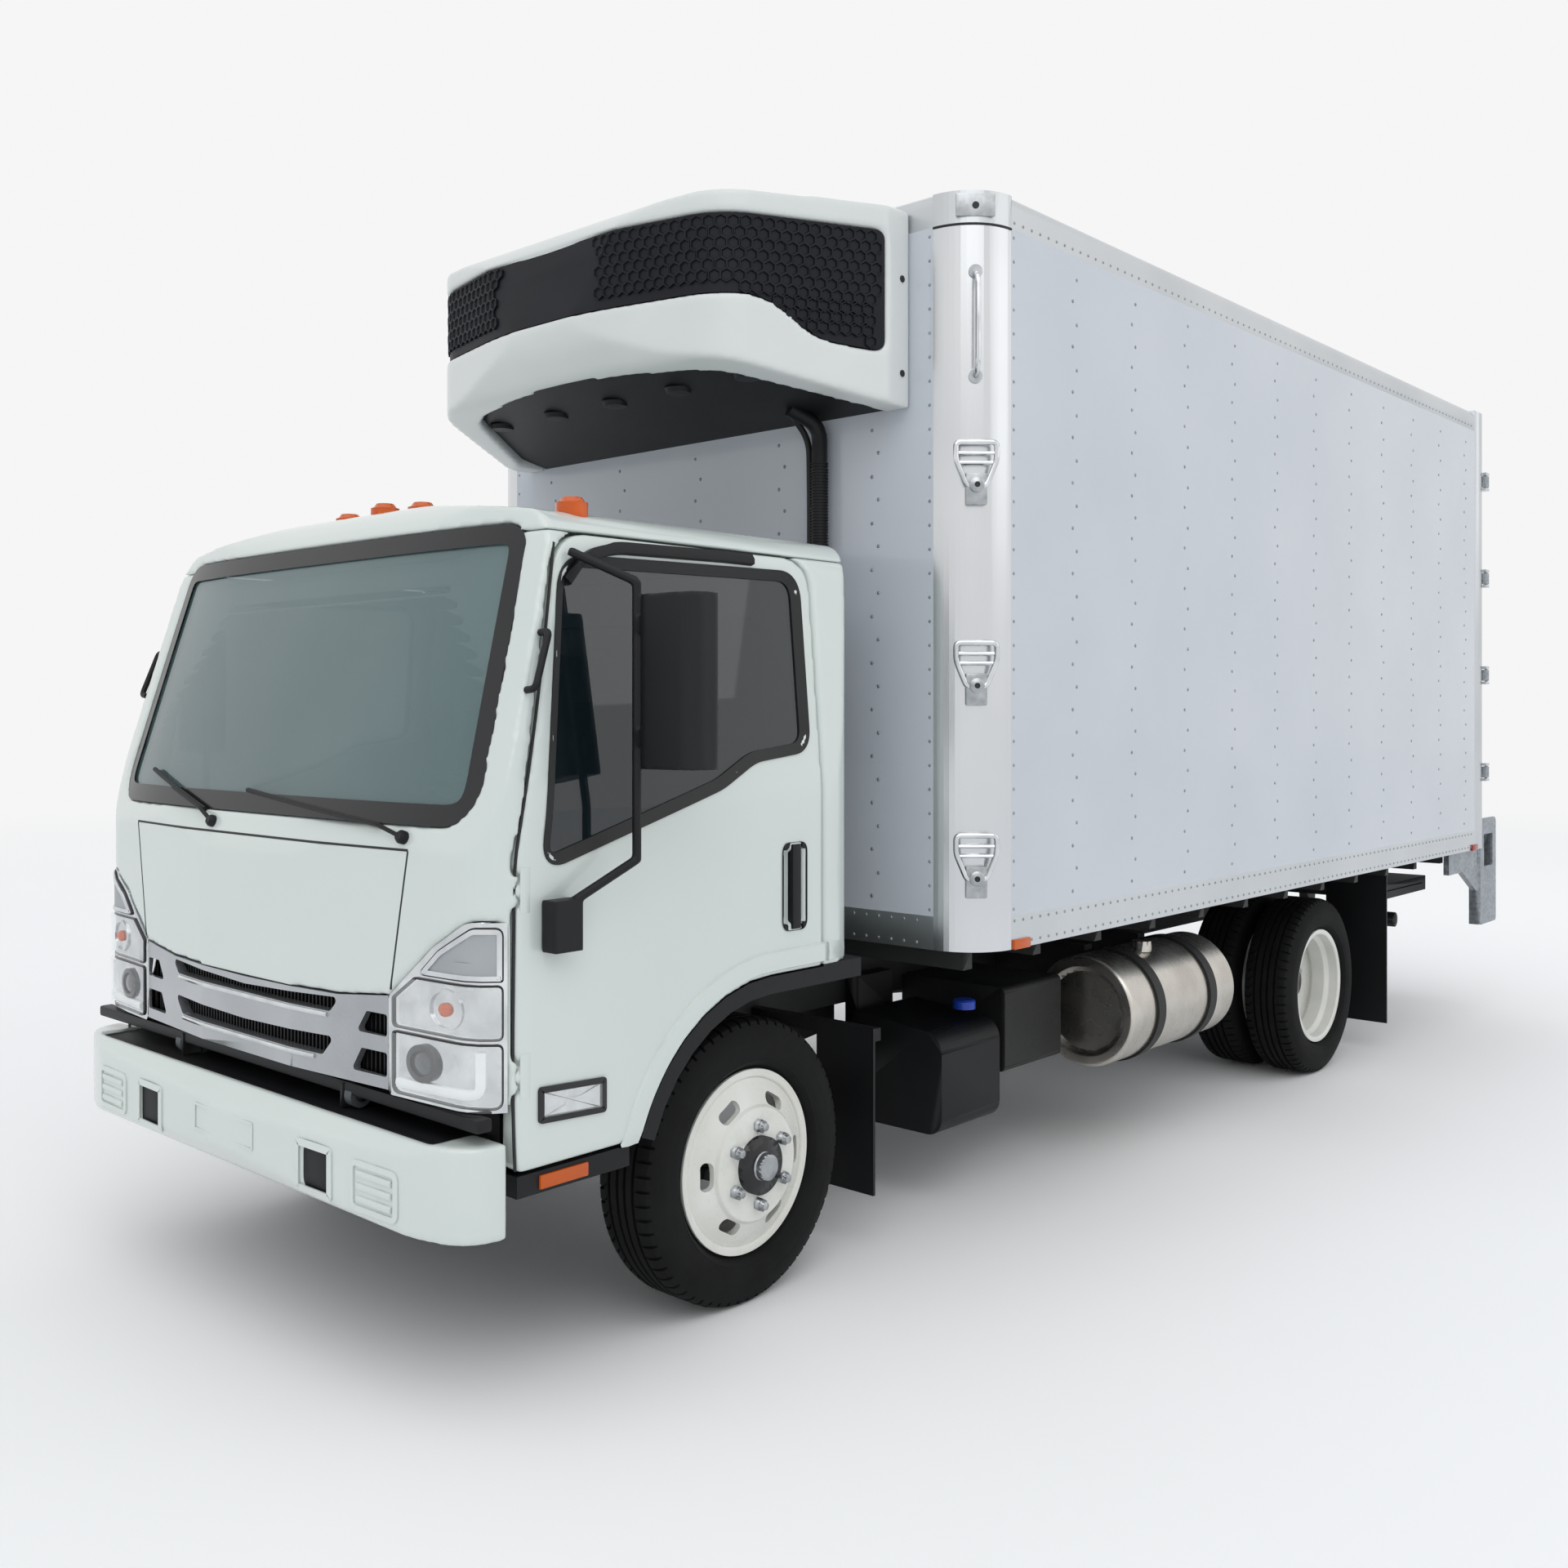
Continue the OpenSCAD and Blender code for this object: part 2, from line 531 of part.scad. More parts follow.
// Side view of the grille band: it dips towards the box
function band(w) = rounded([
  [unit_front - 60, 2955 + w, 0], [unit_front + 260, 2955 + w, 200], [box_front - 330, 2835 + w, 200], [box_front - 120 - w, 2815 + w, 30],
  [box_front - 120 - w, unit_top_z - 85 - w, 30], [unit_front - 60, unit_top_z - 85 - w, 0]]);
grille_depth = 40;
module unit_shell() color("white") on_truck() difference() {
  unit_body(0);
  // Recess for the grille band
  difference() {
    side_prism(band(0), -unit_x - 10, unit_x + 10);
    plan_prism(unit_plan(grille_depth), 2500, 3500);
  }
  // Recess for the pan underneath
  intersection() {
    plan_prism(unit_plan(95), 2500, 3500);
    side_prism([[box_front + 1, unit_low_z - 20], [box_front + 1, unit_low_z + 50], [unit_front - 50, unit_low_z + 220], [unit_front - 50, unit_low_z - 20]],
      -unit_x, unit_x);
  }
}
module unit_grille() color("#15161a") on_truck() difference() {
  intersection() {
    unit_body(8);
    side_prism(band(2), -unit_x - 10, unit_x + 10);
  }
  plan_prism(unit_plan(grille_depth - 1), 2500, 3500);
}
module unit_pan() color("#222429") on_truck() intersection() {
  plan_prism(unit_plan(98), 2500, 3500);
  side_prism([[box_front, unit_low_z + 8], [box_front, unit_low_z + 49.7], [unit_front, unit_low_z + 207], [unit_front, unit_low_z + 160]], -unit_x, unit_x);
}
module evaporator() color("gainsboro") on_truck() {
  y = box_front + wall_t;
  difference() {
    side_prism(rounded([[y, wall_top_z - 5, 0], [y + 420, wall_top_z - 5, 20], [y + 420, wall_top_z - 180, 60], [y + 250, wall_top_z - 420, 60], [y, wall_top_z - 420, 0]]),
      -700, 700);
    for (x = [-350, 350]) translate([x, 0, wall_top_z - 160]) along_y(y + 300, y + 430, 120);
  }
}

// Cab: one hull shape, moved in by w, gives the skin, the glass and the inside

function cab_side(w) = rounded([
  [-cab_front + w, cab_low_z - 50, 0], [cab_back - w, cab_low_z - 50, 0], [cab_back - w, roof_z - 10 - w, 130 - w],
  [screen_foot[0] + tan(screen_rake) * (roof_z - 18 - screen_foot[1]) + w, roof_z - 18 - w, 160],
  [-cab_front + w, cowl_z, 120]]);
function cab_cross(w) = rounded(both([
  [cab_x - w, cab_low_z - 50, 0], [cab_x - w, belt_z, 500], [side_top_x - w, side_top_z - w, 130 - w], [0, roof_z + 16 - w, 3600]]));
function cab_plan(w) = rounded(both([
  [cab_x - w, cab_back - w, 190 - w], [cab_x - w, -cab_front + 65 + w, 130 - w], [0, -cab_front - 20 + w, 3000]]));
// Bowed section square to the windscreen's rake
function screen_bow(w) = rounded(both([
  [cab_x + 300, 2000, 0], [cab_x + 300, 125 + w, 0], [cab_x - 60, 50 + w, 300], [520, 4 + w, 900], [0, -6 + w, 0]]));
module cab_hull(w) intersection() {
  side_prism(cab_side(w), -cab_x, cab_x);
  front_prism(cab_cross(w), -1300, 800);
  plan_prism(cab_plan(w), cab_low_z - 60, roof_z + 100);
  translate([0, screen_foot[0], screen_foot[1]]) rotate([-screen_rake, 0, 0])
    translate([0, 0, -1500]) linear_extrude(3000) polygon(screen_bow(w));
}
function door_outline(g) = rounded([
  [door_front + g, door_low_z + g - 2, 20], [door_front + g, 1330, 100], [-735 + g, door_top_z - g, 130], [door_rear - g, door_top_z - g, 90],
  [door_rear - g, door_low_z + g - 2, 0]]);
module arch_cut(r) side_prism(concat(
  [for (a = [90 : 10 : 180]) [arch_y + r * cos(a), arch_z + r * sin(a)]],
  [[arch_y - r, 300], [cab_back + 200, 300], [cab_back + 200, arch_z + r]]), -cab_x - 20, cab_x + 20);
function screen_outline(g) = rounded(both([
  [930 - g, 1405 + g, 110], [872 - g, 2162 - g, 90]]));
// The windscreen opening ends ahead of the door pillars
module screen_cut(g) difference() {
  front_prism(screen_outline(g), -1200, -600);
  side_prism(door_outline(-16 - g), -cab_x - 1, cab_x + 1);
}
function rear_glass(g) = rounded(both([[620 - g, 1500 + g, 60], [600 - g, 1990 - g, 60]]));
function side_glass(g) = rounded([
  [-812 + g, 1318 + g, 40], [-715 + g, 2062 - g, 90], [165 - g, 2078 - g, 70], [165 - g, 1585 + g, 60], [-60, 1560 + g, 200], [-200, 1490 + g, 300]]);
module cab_skin() difference() {
  cab_hull(0);
  cab_hull(cab_wall);
  // Door openings
  for (s = [-1, 1]) side_prism(door_outline(0), s > 0 ? cab_x - 250 : -cab_x - 5, s > 0 ? cab_x + 5 : -cab_x + 250);
  screen_cut(0);
  front_prism(rear_glass(0), cab_back - 80, cab_back + 20);
  // Floor level, arches, and the lower front where grille and lamps sit
  bar([-cab_x - 5, cab_x + 5], [-cab_front - 30, cab_back + 5], [cab_low_z - 60, floor_z - 90]);
  arch_cut(arch_r);
  bar([-rail_x - 135, rail_x + 135], [cab_back - 90, cab_back + 5], [cab_low_z, riser_z - floor_t]);
  both_sides() front_prism(lamp_outline(0), -1200, door_front - 10);
  front_prism(grille_outline(0), -1200, -900);
}
function grille_outline(g) = rounded(both([[lid_x + 5, grille_low_z - 100, 0], [lid_x + 5, 985 - g, 0], [lid_x - 200, 965 - g, 60], [0, 960 - g, 0]]), 4);
function lamp_outline(g) = rounded([[lid_x + 5 + g, lamp_low_z + g, 15], [cab_x + 20, lamp_low_z + g, 0], [cab_x + 20, lamp_top_z - g, 0], [930, lamp_top_z - g, 60],
  [lid_x + 170 + g, 1120 - g, 120], [lid_x + 5 + g, 985 - g, 20]]);
module cab_front_frame() color("white") on_truck() {
  intersection() {
    cab_skin();
    bar([-cab_x, cab_x], [-cab_front - 20, door_rear - 300], [cab_low_z, 2139]);
  }
  // Door hinge lugs with their pins
  both_sides() for (z = door_hinge_z) {
    for (e = [-34, 20]) bar([door_hinge[0] - 8, door_hinge[0] + door_barrel_r], [door_front - 8, door_hinge[1] + door_barrel_r],
      [z + e, z + e + 14]);
    translate([door_hinge[0], door_hinge[1], z - 33]) cylinder(h = 66, r = door_pin_r);
  }
}
module cab_roof() color("white") on_truck() intersection() {
  cab_skin();
  bar([-cab_x, cab_x], [-cab_front - 20, cab_back + 5], [2139, roof_z + 10]);
}
module cab_rear() color("white") on_truck() intersection() {
  cab_skin();
  bar([-cab_x, cab_x], [door_rear - 300, cab_back + 5], [cab_low_z, 2139]);
}
// Floor pan: foot wells, engine tunnel and seat riser, one sheet
module cab_floor() color("#5c6064") on_truck() {
  floor_pan();
  engine_cover();
  // Ears that turn on the tilt pins
  both_sides() difference() {
    union() {
      translate([0, tilt_axis[0], tilt_axis[1]]) along_x(tilt_ear_x[0], tilt_ear_x[1], tilt_ear_r);
      bar(tilt_ear_x, [tilt_axis[0] - 18, tilt_axis[0] + tilt_ear_r], [tilt_axis[1], floor_z + 1]);
    }
    translate([0, tilt_axis[0], tilt_axis[1]]) along_x(tilt_ear_x[0] - 1, tilt_ear_x[1] + 1, tilt_pin_r + run_gap);
  }
}
// Room that a door takes inside the cab, also as its inner corner turns about the hinge
module door_room() difference() {
  for (s = [-1, 1]) side_prism(door_outline(0), s > 0 ? cab_x - 250 : -cab_x - 5, s > 0 ? cab_x + 5 : -cab_x + 250);
  cab_hull(cab_door_t + door_clear);
}
module floor_pan() difference() {
  pan_sheet();
  door_room();
}
module pan_sheet() intersection() {
  cab_hull(cab_wall + 0.5);
  difference() {
    side_prism([[-cab_front, floor_z], [riser_y + floor_t, floor_z], [riser_y + floor_t, riser_z - floor_t], [cab_back, riser_z - floor_t],
      [cab_back, riser_z], [riser_y, riser_z], [riser_y, floor_z + floor_t], [-cab_front, floor_z + floor_t]], -cab_x, cab_x);
    bar([-tunnel_x, tunnel_x], [-cab_front + 80, riser_y + floor_t + 1], [floor_z - 1, riser_z - floor_t]);
  }
}
// Engine cover between the foot wells
module engine_cover() intersection() {
  cab_hull(cab_wall + 0.5);
  difference() {
    bar([-tunnel_x - floor_t, tunnel_x + floor_t], [-cab_front, riser_y + 1], [floor_z, riser_z]);
    bar([-tunnel_x, tunnel_x], [-cab_front + 80, riser_y + 2], [floor_z - 1, riser_z - floor_t]);
  }
}
// Windscreen and back window
module cab_glass() color("#9fb4b6", 0.5) on_truck() {
  difference() {
    intersection() {
      cab_hull(5);
      screen_cut(0.3);
    }
    cab_hull(13);
  }
  difference() {
    intersection() {
      cab_hull(20);
      front_prism(rear_glass(0.3), cab_back - 80, cab_back + 20);
    }
    cab_hull(27);
  }
}
module grille() color("#b9bcbf") on_truck() intersection() {
  cab_hull(2);
  difference() {
    front_prism(grille_outline(2), -1200, -1000);
    bar([-cab_x, cab_x], [-1200, -900], [0, grille_low_z]);
    // Two long openings and two short ones at each end
    front_prism(rounded(both([[410, 915, 20], [450, 955, 10], [0, 938, 0]])), -1210, -990);
    front_prism(rounded(both([[380, 800, 20], [430, 852, 10], [0, 842, 0]])), -1210, -990);
    both_sides() front_prism(rounded([[520, 880, 8], [640, 880, 8], [640, 935, 8], [560, 935, 8]]), -1210, -990);
    both_sides() front_prism(rounded([[500, 780, 8], [640, 780, 8], [640, 840, 8], [540, 840, 8]]), -1210, -990);
  }
}
roof_lamp_x = [-850, -190, 0, 190, 850];
// Stacked headlamps and the row of roof marker lamps
module cab_lamps() {
  color("#d8dbde") on_truck() both_sides() intersection() {
    cab_hull(1);
    difference() {
      front_prism(lamp_outline(2), -1200, door_front - 12);
      cab_hull(cab_wall);
    }
  }
  color("orange") on_truck() difference() {
    for (x = roof_lamp_x) translate([x, -590, roof_z - 60 - abs(x) * 0.075]) {
      cylinder(h = 70, r = 42);
      translate([0, 0, 70]) cylinder(h = 14, r1 = 36, r2 = 26);
    }
    cab_hull(-0.3);
  }
}
module arch_liners() color("#1b1b1d") on_truck() both_sides()
  side_prism(concat(
    [for (a = [160 : -10 : 90]) [arch_y + (arch_r - 6) * cos(a), arch_z + (arch_r - 6) * sin(a)]],
    [[door_rear + 8, arch_flat_z - 6], [door_rear + 8, arch_flat_z], [cab_back - 30, arch_flat_z], [cab_back - 30, arch_flat_z - 55]],
    [for (a = [90 : 10 : 160]) [arch_y + (arch_r - 55) * cos(a), arch_z + (arch_r - 55) * sin(a)]]), 720, cab_x - 12);
seat_gap = 0.3;
// Step wells under the doors
module cab_steps() color("#1b1b1d") on_truck() both_sides() difference() {
  bar([step_x, cab_x - 12], [door_front + 14, -530], [529, floor_z]);
  bar([step_x + 20, cab_x], [door_front + 34, -550], [door_low_z - 6, floor_z + 1]);
  bar([cab_x - cab_door_t - 20, cab_x], [door_front, -500], [door_low_z - 6, floor_z + 1]);
}
step_x = 730;
module seats() color("#3b3d40") on_truck() for (s = [[470, 440], [-300, 900]]) translate([s[0], 0, riser_z]) {
  w = s[1];
  side_prism(rounded([[-390, seat_gap, 20], [280, seat_gap, 20], [280, 120, 0], [130, 120, 40], [-390, 150, 60]]), -w / 2, w / 2);
  side_prism(rounded([[150, 120 + seat_gap, 0], [280, 120 + seat_gap, 30], [340, 720, 38], [250, 720, 38]]), -w / 2, w / 2);
  side_prism(rounded([[265, 720 + seat_gap, 0], [330, 720 + seat_gap, 0], [340, 880, 28], [270, 880, 28]]), -130, 130);
}
// Steering column: its axis rises towards the driver
wheel_tilt = 32;
steer_hub = [470, -560, 1400];
column_r = 24;
module on_column() translate(steer_hub) rotate([-wheel_tilt, 0, 0]) children();
module dashboard() color("#2e3033") on_truck() {
  dash_panel();
  // Console foot on the engine cover
  bar([-150, 150], [-960, -860], [riser_z + seat_gap, 1072]);
  // Column tube that carries the steering shaft
  on_column() translate([0, 0, -300]) difference() {
    cylinder(h = 200, r = column_r + 18);
    translate([0, 0, 20]) cylinder(h = 200, r = column_r + run_gap);
  }
}
module dash_panel() difference() {
  dash_block();
  door_room();
}
module dash_block() intersection() {
  cab_hull(cab_wall + 2);
  difference() {
    side_prism(rounded([[-1010, 1060, 0], [-830, 1060, 40], [-700, 1150, 60], [-690, 1330, 60], [-1010, 1390, 0]]), -cab_x, cab_x);
    on_column() translate([0, 0, -280]) cylinder(h = 300, r = column_r + run_gap);
  }
}
module steering_wheel() color("#202124") on_truck() on_column() {
  rotate_extrude($fn = 72) translate([200, 0]) circle(r = 15);
  translate([0, 0, -30]) cylinder(h = 38, r = 62);
  for (a = [90, 210, 330]) rotate([0, 0, a]) bar([50, 195], [-16, 16], [-12, 2]);
  translate([0, 0, -270]) cylinder(h = 241, r = column_r);
}

module cab_door() {
  difference() {
    intersection() {
      cab_hull(0);
      side_prism(door_outline(shut_gap), cab_x - 245, cab_x + 10);
    }
    cab_hull(cab_door_t);
    arch_cut(arch_r);
    side_prism(side_glass(0), 600, cab_x + 50);
    // Notches for the hinges
    for (z = door_hinge_z) bar([cab_x - 26, cab_x + 10], [door_front, door_hinge[1] + 18], [z - 42, z + 42]);
    // Handle recess
    side_prism(rounded([[60, 1075, 20], [140, 1075, 20], [140, 1300, 20], [60, 1300, 20]]), cab_x - 28, cab_x + 20);
  }
  // Hinge barrels
  for (z = door_hinge_z) translate([door_hinge[0], door_hinge[1], z - 15]) difference() {
    union() {
      cylinder(h = 30, r = door_barrel_r);
      bar([-door_barrel_r, 0], [0, 20], [0, 30]);
    }
    translate([0, 0, -1]) cylinder(h = 32, r = door_pin_r + run_gap);
  }
  // Pull handle across the recess
  bar([cab_x - 14, cab_x + 6], [85, 115], [1070, 1305]);
}
module cab_door_left() color("white") on_truck() cab_door();
module cab_door_right() color("white") on_truck() mirror([1, 0, 0]) cab_door();
module door_glass() difference() {
  intersection() {
    cab_hull(14);
    side_prism(side_glass(0.3), 300, cab_x + 10);
  }
  cab_hull(20);
}
module door_glass_left() color("#9fb4b6", 0.5) on_truck() door_glass();
module door_glass_right() color("#9fb4b6", 0.5) on_truck() mirror([1, 0, 0]) door_glass();

mirror_post = [1095, -590];
module mirror_arm() {
  tube_r = 12;
  // Lower bracket, upright and top arm
  bar([cab_x + 0.5, cab_x + 55], [-830, -740], [1110, 1235]);
  rod([cab_x + 40, -770, 1225], [mirror_post[0], mirror_post[1], 1320], tube_r);
  rod([mirror_post[0], mirror_post[1], 1315], [mirror_post[0], mirror_post[1], 2010], tube_r);
  rod([mirror_post[0], mirror_post[1], 2008], [972, -705, 2085], tube_r);
  // Mirror head: rounded housing facing the rear
  translate([0, 0, 1545]) linear_extrude(430) polygon(rounded([[1112, -610, 30], [1300, -600, 40], [1300, -500, 20], [1112, -500, 20]]));
  bar([1094, 1114], [-600, -560], [1600, 1640]);
  bar([1094, 1114], [-600, -560], [1880, 1920]);
}
module mirror_left() color("#1d1e22") on_truck() mirror_arm();
module mirror_right() color("#1d1e22") on_truck() mirror([1, 0, 0]) mirror_arm();

// Running gear that turns

module knuckle() {
  translate([kingpin_x, 0, axle_z]) {
    // Fork above and below the axle eye, king pin, and stub axle
    for (z = [36, -71]) translate([0, 0, z]) cylinder(h = 35, r = 46);
    translate([0, 0, -71]) cylinder(h = 142, r = kingpin_r);
    bar([46, 70], [-40, 40], [-71, 71]);
    for (z = [36, -71]) bar([0, 60], [-40, 40], [z, z + 35]);
    along_x(60, front_tyre_x + 100 - kingpin_x, spindle_r);
  }
}
module knuckle_left() color("#2c2c2e") on_truck() knuckle();
module knuckle_right() color("#2c2c2e") on_truck() mirror([1, 0, 0]) knuckle();

// Half sections revolve about the wheel axis; X of the section is the radius, Y is outwards
seat_r = rim_r - 15;
tyre_half = [[tyre_r, 0, 0], [tyre_r, tyre_w / 2 - 44, 0], [tyre_r - 8, tyre_w / 2 - 22, 16], [tyre_r - 70, tyre_w / 2, 40],
  [rim_r + 22, tyre_w / 2 - 8, 14], [rim_r + 5, rim_w / 2 - 9, 4], [seat_r, rim_w / 2 - 9, 9], [seat_r, rim_w / 2 - 38, 0],
  [rim_r + 8, rim_w / 2 - 30, 10], [tyre_r - 66, tyre_w / 2 - 24, 30], [tyre_r - 30, tyre_w / 2 - 44, 10], [tyre_r - 30, 0, 0]];
// Section mirrored about the wheel's middle plane
tyre_section = rounded([for (p = concat(tyre_half, [for (i = [len(tyre_half) - 2 : -1 : 1]) [tyre_half[i][0], -tyre_half[i][1], tyre_half[i][2]]])) p], 4);
module tyre() rotate_extrude($fn = 96) polygon(tyre_section);
rim_t = 9;
rim_section = rounded([[rim_r, -rim_w / 2 - 4, 2], [rim_r, -rim_w / 2 + 6, 2], [seat_r, -rim_w / 2 + 8, 6], [seat_r, -40, 10], [rim_r - 32, -24, 10],
  [rim_r - 32, 24, 10], [seat_r, 40, 10], [seat_r, rim_w / 2 - 8, 6], [rim_r, rim_w / 2 - 6, 2], [rim_r, rim_w / 2 + 4, 2],
  [seat_r - rim_t, rim_w / 2 + 4, 8], [seat_r - rim_t, 46, 8], [rim_r - 32 - rim_t, 30, 8], [rim_r - 32 - rim_t, -30, 8],
  [seat_r - rim_t, -46, 8], [seat_r - rim_t, -rim_w / 2 - 4, 8]], 3);
// The same wheel fits all places: its mounting face lies half the twin spacing from its middle
wheel_offset = twin_gap / 2;
disc_r = seat_r - rim_t + 0.5;
// Disc with its mounting face at height face, dished towards the rim
module disc(face) {
  difference() {
    rotate_extrude($fn = 96) polygon(rounded([[80, face - disc_t, 0], [150, face - disc_t, 10], [214, face - disc_t - 54, 20], [disc_r, face - disc_t - 66, 0],
      [disc_r, face - 48, 0], [220, face - 38, 16], [166, face - 12, 10], [158, face, 8], [80, face, 0]], 3));
    for (i = [0 : hand_holes - 1]) rotate([0, 0, (i + 0.5) * 360 / hand_holes])
      plan_prism(rounded(hand_hole, 4), face - 100, face + 50);
  }
}
hand_hole = [[166, -36, 16], [202, -44, 16], [202, 44, 16], [166, 36, 16]];
module studs(face) {
  for (i = [0 : stud_n - 1]) rotate([0, 0, i * 360 / stud_n]) translate([stud_pcd / 2, 0, face - 1]) {
    cylinder(h = 22, r = 19, $fn = 6);
    cylinder(h = 34, r = stud_r);
  }
}
module at_wheel(x, y) translate([x, y, axle_z]) rotate([0, 90, 0]) children();
module front_wheel() at_wheel(front_tyre_x, 0) difference() {
  union() {
    rotate_extrude($fn = 96) polygon(rim_section);
    disc(wheel_offset);
    studs(wheel_offset);
    // Hub with cap
    translate([0, 0, hub_start]) cylinder(h = wheel_offset + 22 - hub_start, r = 81);
    translate([0, 0, wheel_offset + 21]) cylinder(h = 25, r1 = 40, r2 = 36);
  }
  translate([0, 0, hub_start - 1]) cylinder(h = wheel_offset - hub_start - 9, r = hub_bore_r);
}
module front_wheel_left() color("white") on_truck() front_wheel();
module front_wheel_right() color("white") on_truck() mirror([1, 0, 0]) front_wheel();
module front_tyre_left() color("#1b1b1d") on_truck() at_wheel(front_tyre_x, 0) tyre();
module front_tyre_right() color("#1b1b1d") on_truck() at_wheel(-front_tyre_x, 0) tyre();
// Twin wheels bolt face to face: the outer disc dishes inwards, the inner one outwards
module rear_wheels() difference() {
  union() {
    for (x = [rear_outer_x, rear_inner_x]) at_wheel(x, wheelbase) rotate_extrude($fn = 96) polygon(rim_section);
    at_wheel(rear_outer_x, wheelbase) mirror([0, 0, 1]) disc(wheel_offset);
    at_wheel(rear_inner_x, wheelbase) disc(wheel_offset);
    at_wheel(rear_outer_x - wheel_offset + disc_t, wheelbase) studs(0);
    // Hub with its flanged cover
    at_wheel(rear_inner_x - 20, wheelbase) cylinder(h = wheel_offset + disc_t + 40, r = 81);
    at_wheel(rear_outer_x - wheel_offset + disc_t + 15, wheelbase) cylinder(h = 85, r1 = 80, r2 = 62);
  }
  at_wheel(rear_inner_x - 30, wheelbase) cylinder(h = twin_gap - 10, r = hub_bore_r);
}
module rear_wheels_left() color("white") on_truck() rear_wheels();
module rear_wheels_right() color("white") on_truck() mirror([1, 0, 0]) rear_wheels();
module rear_tyres() for (x = [rear_outer_x, rear_inner_x]) at_wheel(x, wheelbase) tyre();
module rear_tyres_left() color("#1b1b1d") on_truck() rear_tyres();
module rear_tyres_right() color("#1b1b1d") on_truck() mirror([1, 0, 0]) rear_tyres();

frame_rails();
front_bumper();
front_axle();
rear_axle();
leaf_springs();
engine();
propshaft();
urea_tank();
battery_box();
unit_fuel_tank();
tank_straps();
exhaust_canister();
mudflaps();
subframe();
box_floor();
box_panels();
corner_posts();
box_rails();
rear_frame();
liftgate_frame();
liftgate_platform();
unit_shell();
unit_grille();
unit_pan();
evaporator();
cab_front_frame();
cab_roof();
cab_rear();
cab_floor();
cab_glass();
grille();
cab_lamps();
arch_liners();
cab_steps();
seats();
dashboard();
steering_wheel();
cab_door_left();
cab_door_right();
door_glass_left();
door_glass_right();
mirror_left();
mirror_right();
knuckle_left();
knuckle_right();
front_wheel_left();
front_wheel_right();
front_tyre_left();
front_tyre_right();
rear_wheels_left();
rear_wheels_right();
rear_tyres_left();
rear_tyres_right();
rear_door_left();
rear_door_right();
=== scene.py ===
import json
import math

import bmesh
import bpy
import numpy
from mathutils import Matrix, Vector
from mathutils.bvhtree import BVHTree

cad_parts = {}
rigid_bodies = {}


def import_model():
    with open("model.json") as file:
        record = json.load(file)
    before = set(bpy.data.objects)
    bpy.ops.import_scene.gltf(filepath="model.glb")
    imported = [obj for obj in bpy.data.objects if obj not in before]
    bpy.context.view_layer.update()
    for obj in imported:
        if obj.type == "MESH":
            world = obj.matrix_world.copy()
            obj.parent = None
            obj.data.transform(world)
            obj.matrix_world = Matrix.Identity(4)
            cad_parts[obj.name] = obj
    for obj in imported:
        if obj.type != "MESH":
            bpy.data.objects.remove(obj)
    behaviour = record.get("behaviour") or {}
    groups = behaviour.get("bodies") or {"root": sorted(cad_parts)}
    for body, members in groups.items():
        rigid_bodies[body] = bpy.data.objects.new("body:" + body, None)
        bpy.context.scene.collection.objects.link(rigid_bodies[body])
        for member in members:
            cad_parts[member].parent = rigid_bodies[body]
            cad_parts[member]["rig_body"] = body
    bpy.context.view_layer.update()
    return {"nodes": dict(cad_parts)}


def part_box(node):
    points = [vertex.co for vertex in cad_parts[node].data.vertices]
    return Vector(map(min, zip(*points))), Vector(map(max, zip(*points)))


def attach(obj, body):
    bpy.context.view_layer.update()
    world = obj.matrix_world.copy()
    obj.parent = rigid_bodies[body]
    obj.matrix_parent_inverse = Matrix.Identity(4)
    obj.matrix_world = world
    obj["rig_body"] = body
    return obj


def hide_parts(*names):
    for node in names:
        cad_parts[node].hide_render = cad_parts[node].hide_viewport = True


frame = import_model()
scene = bpy.context.scene
mm = 0.001
weldGap = 2e-5
frontAxleLow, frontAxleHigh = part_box("front_axle")
axleY = (frontAxleLow.y + frontAxleHigh.y) / 2
# faces and axes of the solids that the pieces lie on
truck = dict(wheelRadius=405, wheelbase=3810, frontTrack=832, twinTracks=(956, 694),
             boxSide=1219, boxFront=735)
forward, backward = Vector((0, -1, 0)), Vector((0, 1, 0))
sideways, upward = Vector((1, 0, 0)), Vector((0, 0, 1))


# millimetres beside, behind the front axle and above the ground
def at(x, u, z):
    return Vector((x * mm, axleY + u * mm, z * mm))


def bodyOf(node):
    return frame["nodes"][node]["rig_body"]


# materials

def linear(hexColour):
    parts = [int(hexColour[i:i + 2], 16) / 255 for i in (1, 3, 5)]
    return [p / 12.92 if p <= 0.04045 else ((p + 0.055) / 1.055) ** 2.4 for p in parts] + [1.0]


def addNode(tree, kind, inputs=None, **settings):
    node = tree.nodes.new(kind)
    for name, value in settings.items():
        setattr(node, name, value)
    for socket, value in (inputs or {}).items():
        if isinstance(value, bpy.types.NodeSocket):
            tree.links.new(value, node.inputs[socket])
        else:
            node.inputs[socket].default_value = value
    return node


